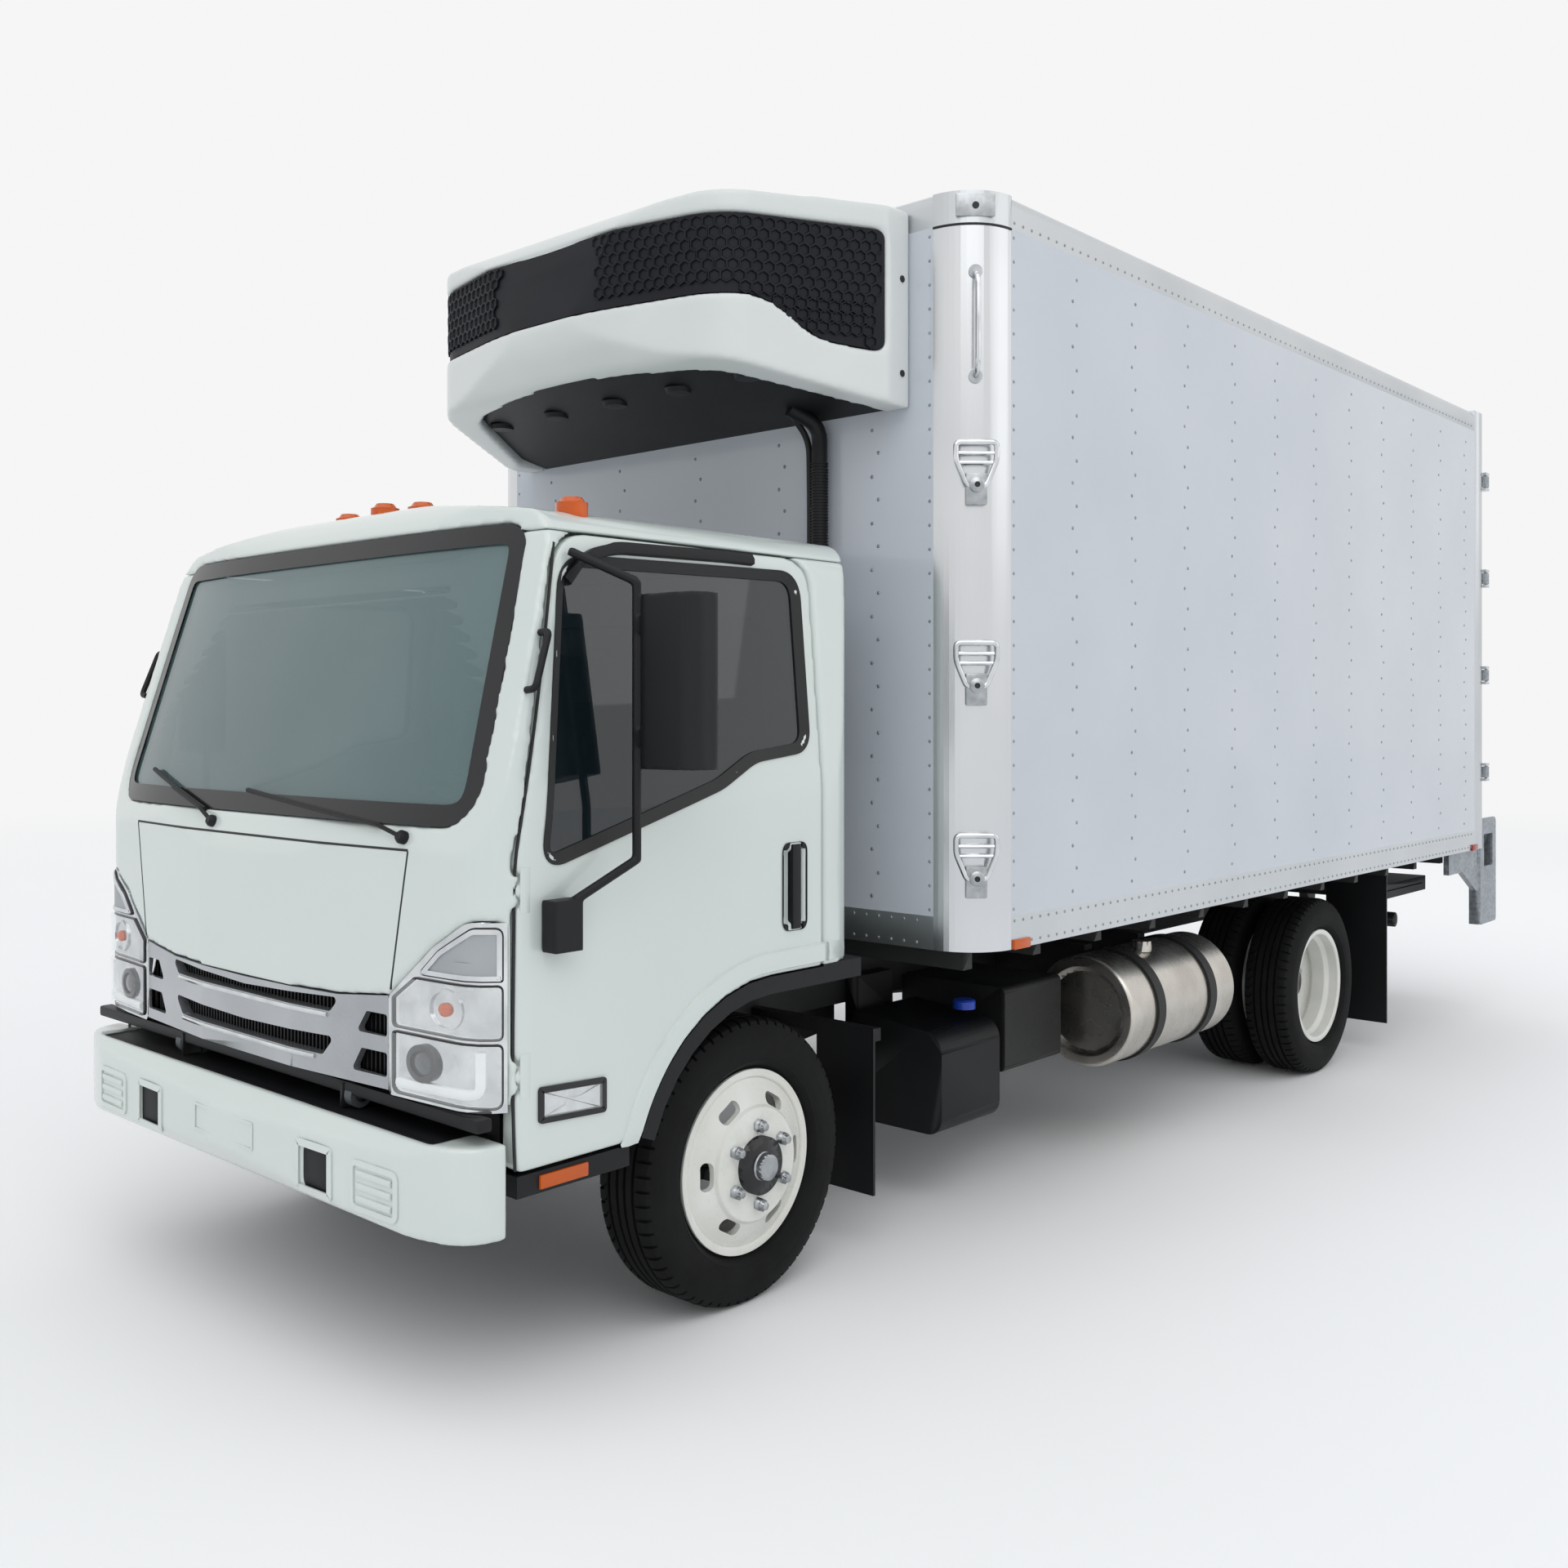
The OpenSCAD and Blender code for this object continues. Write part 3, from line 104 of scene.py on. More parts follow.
# tones: two colours the surface drifts between; cloud and grain: pattern sizes in mm, and a grain
# that is too fine for the render is drawn as coarse as it needs to show;
# stretch: the pattern's length along X, Y, Z; rough: lowest and highest; bump: height in mm
def finish(name, tones, metallic=0.0, rough=(0.4, 0.5), cloud=400, grain=2.0, stretch=(1, 1, 1),
           bump=0.02, pattern="noise", **sockets):
    material = bpy.data.materials.new(name)
    material.use_nodes = True
    tree = material.node_tree
    shader = tree.nodes["Principled BSDF"]
    place = addNode(tree, "ShaderNodeTexCoord").outputs["Object"]
    cells = [1 / s for s in stretch]
    spread = addNode(tree, "ShaderNodeMapping", {"Vector": place, "Scale": cells}).outputs["Vector"]
    drift = addNode(tree, "ShaderNodeTexNoise", {"Vector": place, "Scale": 1000 / cloud, "Detail": 3})
    if pattern == "spangle":
        fine = addNode(tree, "ShaderNodeTexVoronoi",
                       {"Vector": spread, "Scale": 1000 / grain}).outputs["Color"]
        mixed = addNode(tree, "ShaderNodeMix", {"Factor": 0.6, "A": drift.outputs["Fac"], "B": fine})
        level = mixed.outputs["Result"]
    elif pattern == "weave":
        fine = addNode(tree, "ShaderNodeTexChecker", {"Vector": spread, "Scale": 1000 / grain}).outputs["Fac"]
        level = drift.outputs["Fac"]
    else:
        fine = addNode(tree, "ShaderNodeTexNoise",
                       {"Vector": spread, "Scale": 1000 / grain, "Detail": 2}).outputs["Fac"]
        level = drift.outputs["Fac"]
    ramp = addNode(tree, "ShaderNodeValToRGB", {"Fac": level})
    for stop, tone, share in zip(ramp.color_ramp.elements, tones, (0.3, 0.7)):
        stop.color, stop.position = linear(tone), share
    tree.links.new(ramp.outputs["Color"], shader.inputs["Base Color"])
    gloss = addNode(tree, "ShaderNodeMapRange",
                    {"Value": fine, "To Min": rough[0], "To Max": rough[1]})
    tree.links.new(gloss.outputs["Result"], shader.inputs["Roughness"])
    if bump:
        relief = addNode(tree, "ShaderNodeBump", {"Height": fine, "Strength": 1.0, "Distance": bump * mm})
        tree.links.new(relief.outputs["Normal"], shader.inputs["Normal"])
    shader.inputs["Metallic"].default_value = metallic
    for socket, value in sockets.items():
        shader.inputs[socket.replace("_", " ")].default_value = value
    return material


# sprayed enamel under clear lacquer: glossy, with faint orange peel, drawn 9 mm across to show
cabEnamel = finish("cabEnamel", ("#cdd6d2", "#d3dbd7"), rough=(0.2, 0.26), cloud=900, grain=9, bump=0.012,
                   Coat_Weight=0.6, Coat_Roughness=0.05)
# same enamel on moulded fibreglass: a little softer, slightly warmer
unitGelcoat = finish("unitGelcoat", ("#d2d6d5", "#d9dcdb"), rough=(0.28, 0.34), cloud=700, grain=14,
                     bump=0.02, Coat_Weight=0.35, Coat_Roughness=0.12)
# pre-painted aluminium sheet: glossy and slightly wavy between the rivet rows
boxSheet = finish("boxSheet", ("#bfc5cd", "#c6cbd3"), rough=(0.16, 0.2), cloud=650, grain=230, bump=0.9,
                  stretch=(1, 1, 1.6), Coat_Weight=0.4, Coat_Roughness=0.04)
# extruded aluminium, drawn upright: streaks along the draw, satin shine
postAluminium = finish("postAluminium", ("#cfd1d4", "#d8dadc"), metallic=1.0, rough=(0.2, 0.3), cloud=600,
                       grain=3, stretch=(1, 1, 60), bump=0.01)
# the same extrusion lying along the body
railAluminium = finish("railAluminium", ("#c4c8cb", "#cfd2d5"), metallic=1.0, rough=(0.25, 0.36), cloud=600,
                       grain=3, stretch=(1, 60, 1), bump=0.01)
# spun and polished aluminium of the tank: fine rings round the barrel
tankAluminium = finish("tankAluminium", ("#b7b2aa", "#d6d2cb"), metallic=1.0, rough=(0.2, 0.36), cloud=220,
                       grain=4, stretch=(30, 1, 30), bump=0.012)
# hot-dip galvanised steel: spangle patches about 14 mm across, dull
galvanised = finish("galvanised", ("#8d949a", "#aab0b5"), metallic=0.85, rough=(0.42, 0.6), cloud=120,
                    grain=14, bump=0.01, pattern="spangle")
# chassis black: brushed-on paint with dust
chassisBlack = finish("chassisBlack", ("#0f1011", "#181919"), rough=(0.5, 0.7), cloud=150, grain=6, bump=0.06)
# sand-cast iron of the housings: dark, rough and dull
castIron = finish("castIron", ("#1d1d1e", "#2b2a29"), metallic=0.3, rough=(0.6, 0.8), cloud=90, grain=4,
                  bump=0.15)
# moulded black plastic with a leather-like grain, drawn 2.5 mm across to show
mouldedBlack = finish("mouldedBlack", ("#0e0f11", "#141518"), rough=(0.42, 0.58), cloud=300, grain=2.5,
                      bump=0.05, Specular_IOR_Level=0.3)
# polished black ABS: dark, with clear reflections
glossBlack = finish("glossBlack", ("#101114", "#15161a"), rough=(0.14, 0.2), cloud=300, grain=8, bump=0.006)
# moulded plastic of the honeycomb: blue-black and matt, so that the cells read as dark
unitBlack = finish("unitBlack", ("#0b0d14", "#12141c"), rough=(0.42, 0.55), cloud=250, grain=3, bump=0.03,
                   Specular_IOR_Level=0.25)
# tyre rubber: dark, matt, dusty on the sidewall
tyreRubber = finish("tyreRubber", ("#090a0b", "#121314"), rough=(0.68, 0.85), cloud=110, grain=3, bump=0.08,
                    Specular_IOR_Level=0.2)
# extruded sealing rubber: dark, with a soft sheen
sealRubber = finish("sealRubber", ("#0f1011", "#161719"), rough=(0.5, 0.62), cloud=200, grain=3, bump=0.03)
# baked enamel of the wheels: smooth white, half glossy
wheelEnamel = finish("wheelEnamel", ("#d9d9d2", "#e8e8e3"), rough=(0.24, 0.34), cloud=160, grain=8, bump=0.02)
# zinc-plated steel nuts: grey metal, half bright
platedZinc = finish("platedZinc", ("#9b9fa2", "#b9bcbf"), metallic=1.0, rough=(0.25, 0.4), cloud=30, grain=2,
                    bump=0.01)
# steel rivet heads: grey metal dulled by dirt
rivetSteel = finish("rivetSteel", ("#84898e", "#9da2a6"), metallic=0.6, rough=(0.35, 0.5), cloud=40, grain=2,
                    bump=0.01)
# chrome-plated steel: close to a mirror
chromePlate = finish("chromePlate", ("#c9cccf", "#dfe1e3"), metallic=1.0, rough=(0.07, 0.14), cloud=60,
                     grain=5, bump=0.004)
# silver paint under lacquer: satin metal with a glossy top
grilleSilver = finish("grilleSilver", ("#a2a5a9", "#b4b7ba"), metallic=0.75, rough=(0.24, 0.32), cloud=300,
                      grain=1.5, bump=0.006, Coat_Weight=0.5, Coat_Roughness=0.08)
# vacuum-metallised plastic of lamp bowls: a bright mirror with soft ripples
lampReflector = finish("lampReflector", ("#c7cacc", "#e2e4e5"), metallic=1.0, rough=(0.06, 0.12), cloud=60,
                       grain=12, bump=0.05)
# woven seat fabric, yarn drawn coarse so that it shows
seatFabric = finish("seatFabric", ("#34373a", "#45494d"), rough=(0.85, 0.95), cloud=60, grain=6, bump=0.3,
                    pattern="weave", Sheen_Weight=0.3)
# soft-touch dash plastic: matt dark grey
dashPlastic = finish("dashPlastic", ("#2b2d30", "#36383b"), rough=(0.55, 0.65), cloud=200, grain=2.5,
                     bump=0.05)
# painted floor sheet: dull grey
floorPaint = finish("floorPaint", ("#4c5053", "#5b5f62"), rough=(0.5, 0.65), cloud=200, grain=5, bump=0.05)
# extruded alloy of the cargo floor: worn satin, streaks along the ribs
floorAlloy = finish("floorAlloy", ("#8d9297", "#a3a8ac"), metallic=0.9, rough=(0.35, 0.5), cloud=200, grain=5,
                    stretch=(1, 40, 1), bump=0.02)


# acrylic lens that light passes through
def clear(name, hexColour, transmission, roughness, ior):
    return finish(name, (hexColour, hexColour), rough=(roughness, roughness * 1.2), cloud=300, grain=60,
                  bump=0, Transmission_Weight=transmission, IOR=ior)


# tinted pane: the share of light it keeps is its alpha
def tinted(name, tones, alpha):
    return finish(name, tones, rough=(0.02, 0.03), cloud=500, grain=60, bump=0, Coat_Weight=1.0,
                  Coat_Roughness=0.02, Alpha=alpha)


# laminated screen glass, green-grey tint
screenGlass = tinted("screenGlass", ("#587477", "#617d80"), 0.58)
# tempered side glass, darker tint
sideGlass = tinted("sideGlass", ("#101a1f", "#162126"), 0.72)
# polycarbonate lamp cover: clear, seen by its reflections
lampLens = tinted("lampLens", ("#eef1f1", "#f3f5f5"), 0.1)
# amber and red acrylic: glossy, and light comes through
amberLens = clear("amberLens", "#e8660c", 0.35, 0.08, 1.49)
redLens = clear("redLens", "#a8120d", 0.3, 0.08, 1.49)
# satin paint of the headlamps' caps: grey, a little metallic
capSilver = finish("capSilver", ("#9b9fa3", "#a9adb0"), metallic=0.3, rough=(0.3, 0.38), cloud=200, grain=2,
                   bump=0.008)
# opal acrylic of the light guides: milky white
guideAcrylic = finish("guideAcrylic", ("#eef1f2", "#f6f8f8"), rough=(0.18, 0.24), cloud=80, grain=4,
                      bump=0.01)
# smoked projector glass: dark, with sharp reflections
eyeGlass = finish("eyeGlass", ("#23262b", "#34383e"), rough=(0.04, 0.07), cloud=50, grain=6, bump=0.004,
                  Coat_Weight=0.8)
# blue polyethylene of the tank's cap: soft shine
bluePlastic = finish("bluePlastic", ("#1c3fb0", "#2450c8"), rough=(0.3, 0.4), cloud=60, grain=3, bump=0.02)
print("materials", len(bpy.data.materials))


# pieces

def linked(name, data):
    holder = bpy.data.objects.new(name, data)
    scene.collection.objects.link(holder)
    return holder


def meshOf(name, bm):
    mesh = bpy.data.meshes.new(name)
    bm.to_mesh(mesh)
    bm.free()
    return mesh


def asObject(name, mesh, material, angle=30):
    mesh.polygons.foreach_set("use_smooth", [True] * len(mesh.polygons))
    mesh.set_sharp_from_angle(angle=math.radians(angle))
    if not mesh.materials:
        mesh.materials.append(material)
    return linked(name, mesh)


def fromBmesh(name, bm, body, material, angle=30):
    bmesh.ops.recalc_face_normals(bm, faces=bm.faces)
    piece = asObject(name, meshOf(name, bm), material, angle)
    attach(piece, body)
    return piece


# plain mesh of an object with its modifiers worked in
def settle(piece):
    bpy.context.view_layer.update()
    evaluated = piece.evaluated_get(bpy.context.evaluated_depsgraph_get())
    mesh = bpy.data.meshes.new_from_object(evaluated)
    piece.modifiers.clear()
    piece.data = mesh
    return piece


# merged copy of a node's CAD mesh, with materials of its own
def skinMesh(node, *materials):
    bm = bmesh.new()
    bm.from_mesh(frame["nodes"][node].data)
    bmesh.ops.remove_doubles(bm, verts=bm.verts, dist=weldGap)
    mesh = meshOf(node + "Skin", bm)
    for material in materials:
        mesh.materials.append(material)
    return mesh


# a node's skin moves with the node's body and is shown in its stead
def standIn(piece, node):
    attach(piece, bodyOf(node))
    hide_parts(node)
    return piece


# a node keeps its CAD form, and its rounded stretches are shaded smooth;
# sort says which of the materials a face gets, from its centre
def dress(node, material, sort=None, others=()):
    smoothAngle = 32
    mesh = skinMesh(node, material, *others)
    for face in mesh.polygons:
        face.material_index = sort(face.center) if sort else 0
    piece = asObject(node + "Skin", mesh, material, smoothAngle)
    weigh = piece.modifiers.new("weigh", "WEIGHTED_NORMAL")
    weigh.keep_sharp = True
    settle(piece)
    return standIn(piece, node)


# moulded and pressed panels: the node's own form with its edges rounded off
def mould(node, material, voxel=9, rounds=6):
    keptShare = 0.35
    piece = asObject(node + "Skin", skinMesh(node, material), material, 180)
    remesh = piece.modifiers.new("remesh", "REMESH")
    remesh.mode = "VOXEL"
    remesh.voxel_size = voxel * mm
    remesh.use_smooth_shade = True
    soften = piece.modifiers.new("soften", "SMOOTH")
    soften.factor = 0.5
    soften.iterations = rounds
    thin = piece.modifiers.new("thin", "DECIMATE")
    thin.ratio = keptShare
    settle(piece)
    piece.data.polygons.foreach_set("use_smooth", [True] * len(piece.data.polygons))
    return standIn(piece, node)


# shapes

# closed outline of (x, y, radius) corners, each rounded by a curve
def roundOff(corners, steps=6):
    straight = 1.56
    points = []
    for i, (x, y, radius) in enumerate(corners):
        here = Vector((x, y))
        before = (Vector(corners[i - 1][:2]) - here)
        after = (Vector(corners[(i + 1) % len(corners)][:2]) - here)
        half = before.angle(after) / 2
        if radius <= 0 or half > straight:
            points.append(here)
            continue
        reach = radius / math.tan(half)
        p, q = here + before.normalized() * reach, here + after.normalized() * reach
        for k in range(steps + 1):
            t = k / steps
            points.append(p * (1 - t) ** 2 + here * 2 * t * (1 - t) + q * t ** 2)
    return points


# outline moved inwards, or outwards by a negative distance
def inset(points, distance):
    area = sum(a.x * b.y - b.x * a.y for a, b in zip(points, points[1:] + points[:1]))
    turn = 1 if area > 0 else -1
    moved = []
    for i, here in enumerate(points):
        along = (points[(i + 1) % len(points)] - points[i - 1])
        side = Vector((-along.y, along.x)).normalized() * turn
        moved.append(here + side * distance)
    return moved


# faces between two rings of points; a ring may be a single point
def bridge(bm, first, second):
    for k in range(max(len(first), len(second))):
        around = ((first, k), (first, k + 1), (second, k + 1), (second, k))
        bm.faces.new(list(dict.fromkeys(ring[i % len(ring)] for ring, i in around)))


# sides that outlines are drawn from: the way one looks, and where the look starts
viewRays = {"front": (backward, lambda a, b: at(a, -2500, b)),
            "left": (-sideways, lambda a, b: at(2500, a, b)),
            "right": (sideways, lambda a, b: at(-2500, a, b)),
            "back": (forward, lambda a, b: at(a, 8000, b))}


# across a front corner, 40 degrees from straight ahead; counted from the middle of the front
def cornerView(s):
    corner = dict(turn=math.radians(40), front=-1040, away=2500)
    cos, sin = math.cos(corner["turn"]), math.sin(corner["turn"])

    def start(a, b):
        return at(s * (a * cos + corner["away"] * sin), corner["front"] + a * sin - corner["away"] * cos, b)

    return Vector((-s * sin, cos, 0)), start


viewRays["frontLeft"], viewRays["frontRight"] = cornerView(1), cornerView(-1)
# past an edge, the spot nearest to a point this far along the look is taken
lookDepth = 1.4


# where a point of the outline falls on the surface, seen from one side, and the way it faces there
def drape(surface, view, a, b):
    if callable(surface):
        return surface(a, b)
    ray, start = viewRays[view]
    spot, facing = surface.ray_cast(start(a, b), ray)[:2]
    if spot is None:
        spot, facing = surface.find_nearest(start(a, b) + ray * lookDepth)[:2]
    if facing.dot(ray) > 0:
        facing = -facing
    return spot, facing


# a plate or rim that lies on a surface; its edge is a little lower than its face
def plate(name, surface, view, outline, body, material, lift=0.3, thick=2.0, rim=0, dome=0,
          shells=(0.94, 0.8, 0.55, 0.25)):
    edgeShare = 0.8
    middle = sum(outline, Vector((0, 0))) / len(outline)
    rings = [inset(outline, rim)] if rim else [[middle + (p - middle) * k for p in outline] for k in shells]
    bm = bmesh.new()

    def ring(points, height):
        made = []
        for p in points:
            spot, facing = drape(surface, view, p.x, p.y)
            made.append(bm.verts.new(spot + facing * height * mm))
        return made

    base, top = ring(outline, lift), ring(outline, lift + thick * edgeShare)
    bridge(bm, base, top)
    front, back = top, base
    for k, points in enumerate(rings):
        following = ring(points, lift + thick + dome * (k + 1) / len(rings))
        bridge(bm, front, following)
        front = following
        following = ring(points, lift)
        bridge(bm, back, following)
        back = following
    if rim:
        bridge(bm, front, back)
    else:
        bm.faces.new(front)
        bm.faces.new(back)
    return fromBmesh(name, bm, body, material, 40)


# corners of a path rounded with the given bend
def bendPath(points, bend, steps=5):
    path = [points[0]]
    for before, here, after in zip(points, points[1:], points[2:]):
        p = here + (before - here).normalized() * bend
        q = here + (after - here).normalized() * bend
        path += [p * (1 - k / steps) ** 2 + here * 2 * (k / steps) * (1 - k / steps) + q * (k / steps) ** 2
                 for k in range(steps + 1)]
    return path + [points[-1]]


# round bar along a path, radius in mm
def addTube(bm, points, radius, sides=10):
    rings, nearlyAlong = [], 0.98
    upright = upward
    for i, here in enumerate(points):
        along = (points[min(i + 1, len(points) - 1)] - points[max(i - 1, 0)]).normalized()
        if abs(along.dot(upright)) > nearlyAlong:
            upright = backward
        across = along.cross(upright).normalized()
        up = across.cross(along).normalized()
        rings.append([bm.verts.new(here + (across * math.cos(a) + up * math.sin(a)) * radius * mm)
                      for a in (2 * math.pi * k / sides for k in range(sides))])
    for first, second in zip(rings, rings[1:]):
        bridge(bm, first, second)
    bm.faces.new(rings[0])
    bm.faces.new(rings[-1])


def tube(name, points, radius, body, material, sides=12):
    bm = bmesh.new()
    addTube(bm, points, radius, sides)
    return fromBmesh(name, bm, body, material, 40)


# box between two corners with its edges bevelled, turned about its middle
def addBlock(bm, low, high, bevel, turn=None):
    middle, size = (low + high) / 2, high - low
    made = bmesh.ops.create_cube(bm, size=1.0)["verts"]
    place = Matrix.Translation(middle) @ (turn or Matrix()) @ Matrix.Diagonal((*size, 1))
    bmesh.ops.transform(bm, matrix=place, verts=made)
    edges = list(dict.fromkeys(e for v in made for e in v.link_edges))
    bmesh.ops.bevel(bm, geom=edges, offset=bevel * mm, segments=2, affect="EDGES", profile=0.6)


# profile of (radius, height) turned about an axis through origin
def addLathe(bm, profile, origin, axis, sides=32):
    axis = axis.normalized()
    across = axis.orthogonal().normalized()
    up = axis.cross(across)
    rings = []
    for radius, height in profile:
        centre = origin + axis * height * mm
        if radius <= 0:
            rings.append([bm.verts.new(centre)])
        else:
            rings.append([bm.verts.new(centre + (across * math.cos(a) + up * math.sin(a)) * radius * mm)
                          for a in (2 * math.pi * k / sides for k in range(sides))])
    for first, second in zip(rings, rings[1:]):
        bridge(bm, first, second)
    for end in (rings[0], rings[-1]):
        if len(end) > 1:
            bm.faces.new(end)


plainNodes = {
    chassisBlack: ("frame_rails", "leaf_springs", "propshaft", "battery_box", "tank_straps", "subframe",
                   "liftgate_platform", "front_axle", "knuckle_left", "knuckle_right"),
    castIron: ("rear_axle", "engine", "exhaust_canister"),
    mouldedBlack: ("mudflaps", "urea_tank", "arch_liners", "cab_steps", "unit_pan"),
    unitBlack: ("unit_grille",),
    galvanised: ("liftgate_frame",),
    floorAlloy: ("box_floor",),
    boxSheet: ("box_panels", "evaporator"),
    postAluminium: ("corner_posts",),
    railAluminium: ("box_rails", "rear_frame"),
    tankAluminium: ("unit_fuel_tank",),
    grilleSilver: ("grille",),
    floorPaint: ("cab_floor",),
    dashPlastic: ("dashboard", "steering_wheel"),
    sideGlass: ("door_glass_left", "door_glass_right"),
}
for material, nodes in plainNodes.items():
    for node in nodes:
        dress(node, material)
for node in ("cab_front_frame", "cab_roof", "cab_rear", "cab_door_left", "cab_door_right", "front_bumper"):
    mould(node, cabEnamel)
mould("unit_shell", unitGelcoat, rounds=12)
for node in ("mirror_left", "mirror_right"):
    mould(node, mouldedBlack, voxel=5, rounds=4)


# wheels: enamel on rim and disc, plated nuts and cap, black hub
def wheelZone(u, face, cap):
    zone = dict(hub=82, cap=41, nuts=(88, 134))
    hub = at(0, u, truck["wheelRadius"])

    def sort(centre):
        radius = math.hypot(centre.y - hub.y, centre.z - hub.z) / mm
        out = abs(centre.x) / mm
        low, high = zone["nuts"]
        if (out > face and low < radius < high) or (out > cap and radius < zone["cap"]):
            return 1
        return 2 if out > face and radius < zone["hub"] else 0

    return sort


# place along the truck, and how far out the disc's face and the hub's cap stand
wheelFaces = {"front_wheel_": (0, 963.5, 984.5), "rear_wheels_": (truck["wheelbase"], 839.5, math.inf)}
for side in ("left", "right"):
    for node, faces in wheelFaces.items():
        dress(node + side, wheelEnamel, wheelZone(*faces), (platedZinc, glossBlack))
# rear doors: sheet, with galvanised straps and lock rods behind the face
doorFace = at(0, 5649.5, 0).y
for side in ("left", "right"):
    dress("rear_door_" + side, boxSheet, lambda centre: int(centre.y > doorFace), (galvanised,))
# lamps: bright bowls below the roof, amber markers on it
roofLine = 2.0
dress("cab_lamps", lampReflector, lambda centre: int(centre.z > roofLine), (amberLens,))
print("nodes dressed")


# tyres: five ribs, slotted shoulders; a profile point is (radius, distance from the middle)
def makeTyre(name, node, hubs):
    tyre = dict(tread=405, depth=13, pitches=64, grooves=((9, 19), (41, 51)),
                parts=(0.0, 0.76, 0.79, 0.97), slotDepth=9, slotFrom=52, slotTo=93, slotAbove=380,
                wall=((405, 69), (401.5, 82), (397, 91), (386, 97), (370, 104.5), (352, 110.5), (337, 113),
                      (330, 112.2), (326, 113), (312, 112), (298, 110.5), (290, 108), (287, 108.6),
                      (281, 104), (272, 92), (266, 79), (246, 79), (246, 50), (269, 58),
                      (339, 89), (375, 69), (375, 0)))
    top, bottom = tyre["tread"], tyre["tread"] - tyre["depth"]
    half = [(top, 0)]
    for near, far in tyre["grooves"]:
        half += [(top, near - 0.5), (bottom, near + 1), (bottom, far - 1), (top, far + 0.5)]
    half += tyre["wall"]
    ring = half + [(r, -w) for r, w in half[-2:0:-1]]
    halfPitch = math.pi / tyre["pitches"]

    # one cross section; the shoulders are staggered half a pitch from side to side
    def section(x, u, angle, slotted):
        spots = []
        for radius, width in ring:
            shoulder = abs(width) > tyre["slotFrom"]
            if slotted and shoulder and radius > tyre["slotAbove"] and abs(width) < tyre["slotTo"]:
                radius -= tyre["slotDepth"]
            turn = angle + (halfPitch if shoulder and width < 0 else 0)
            hub = at(x + width, u, truck["wheelRadius"])
            spots.append(bm.verts.new(hub + Vector((0, math.cos(turn), math.sin(turn))) * radius * mm))
        return spots

    bm = bmesh.new()
    for x, u in hubs:
        columns = [section(x, u, 2 * halfPitch * (p + part), k > 1)
                   for p in range(tyre["pitches"]) for k, part in enumerate(tyre["parts"])]
        for column, following in zip(columns, columns[1:] + columns[:1]):
            bridge(bm, column, following)
    piece = fromBmesh(name, bm, bodyOf(node), tyreRubber, 25)
    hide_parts(node)


for side, s in (("left", 1), ("right", -1)):
    makeTyre("frontTread_" + side, "front_tyre_" + side, [(s * truck["frontTrack"], 0)])
    makeTyre("rearTread_" + side, "rear_tyres_" + side,
             [(s * x, truck["wheelbase"]) for x in truck["twinTracks"]])
print("tyres")


# repeats: a Geometry Nodes tree puts one shape at every point, turned to its facing and along
def repeatTree(name, sizes, shape):
    tree = bpy.data.node_groups.new(name, "GeometryNodeTree")
    tree.interface.new_socket("Geometry", in_out="INPUT", socket_type="NodeSocketGeometry")
    for label in sizes:
        tree.interface.new_socket(label, in_out="INPUT", socket_type="NodeSocketFloat")
    tree.interface.new_socket("Finish", in_out="INPUT", socket_type="NodeSocketMaterial")
    tree.interface.new_socket("Geometry", in_out="OUTPUT", socket_type="NodeSocketGeometry")
    given = addNode(tree, "NodeGroupInput").outputs
    facing = addNode(tree, "GeometryNodeInputNamedAttribute", {"Name": "facing"}, data_type="FLOAT_VECTOR")
    along = addNode(tree, "GeometryNodeInputNamedAttribute", {"Name": "along"}, data_type="FLOAT_VECTOR")
    turn = addNode(tree, "FunctionNodeAlignRotationToVector",
                   {"Vector": facing.outputs["Attribute"]}, axis="Z")
    turn = addNode(tree, "FunctionNodeAlignRotationToVector",
                   {"Rotation": turn.outputs["Rotation"], "Vector": along.outputs["Attribute"]},
                   axis="X", pivot_axis="Z")
    placed = addNode(tree, "GeometryNodeInstanceOnPoints",
                     {"Points": given["Geometry"], "Instance": shape(tree, given),
                      "Rotation": turn.outputs["Rotation"]})
    solid = addNode(tree, "GeometryNodeRealizeInstances", {"Geometry": placed.outputs["Instances"]})
    coated = addNode(tree, "GeometryNodeSetMaterial",
                     {"Geometry": solid.outputs["Geometry"], "Material": given["Finish"]})
    addNode(tree, "NodeGroupOutput", {"Geometry": coated.outputs["Geometry"]})
    return tree


# spots: list of (place, facing, along)
def repeat(name, tree, sizes, spots, body, material):
    mesh = bpy.data.meshes.new(name)
    mesh.from_pydata([s[0] for s in spots], [], [])
    for label, column in (("facing", 1), ("along", 2)):
        mesh.attributes.new(label, "FLOAT_VECTOR", "POINT").data.foreach_set(
            "vector", [c for s in spots for c in s[column]])
    piece = linked(name, mesh)
    modifier = piece.modifiers.new("repeat", "NODES")
    modifier.node_group = tree
    sockets = {s.name: s.identifier for s in tree.interface.items_tree if s.in_out == "INPUT"}
    for label, value in sizes.items():
        modifier[sockets[label]] = value
    modifier[sockets["Finish"]] = material
    settle(piece)
    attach(piece, body)
    return piece


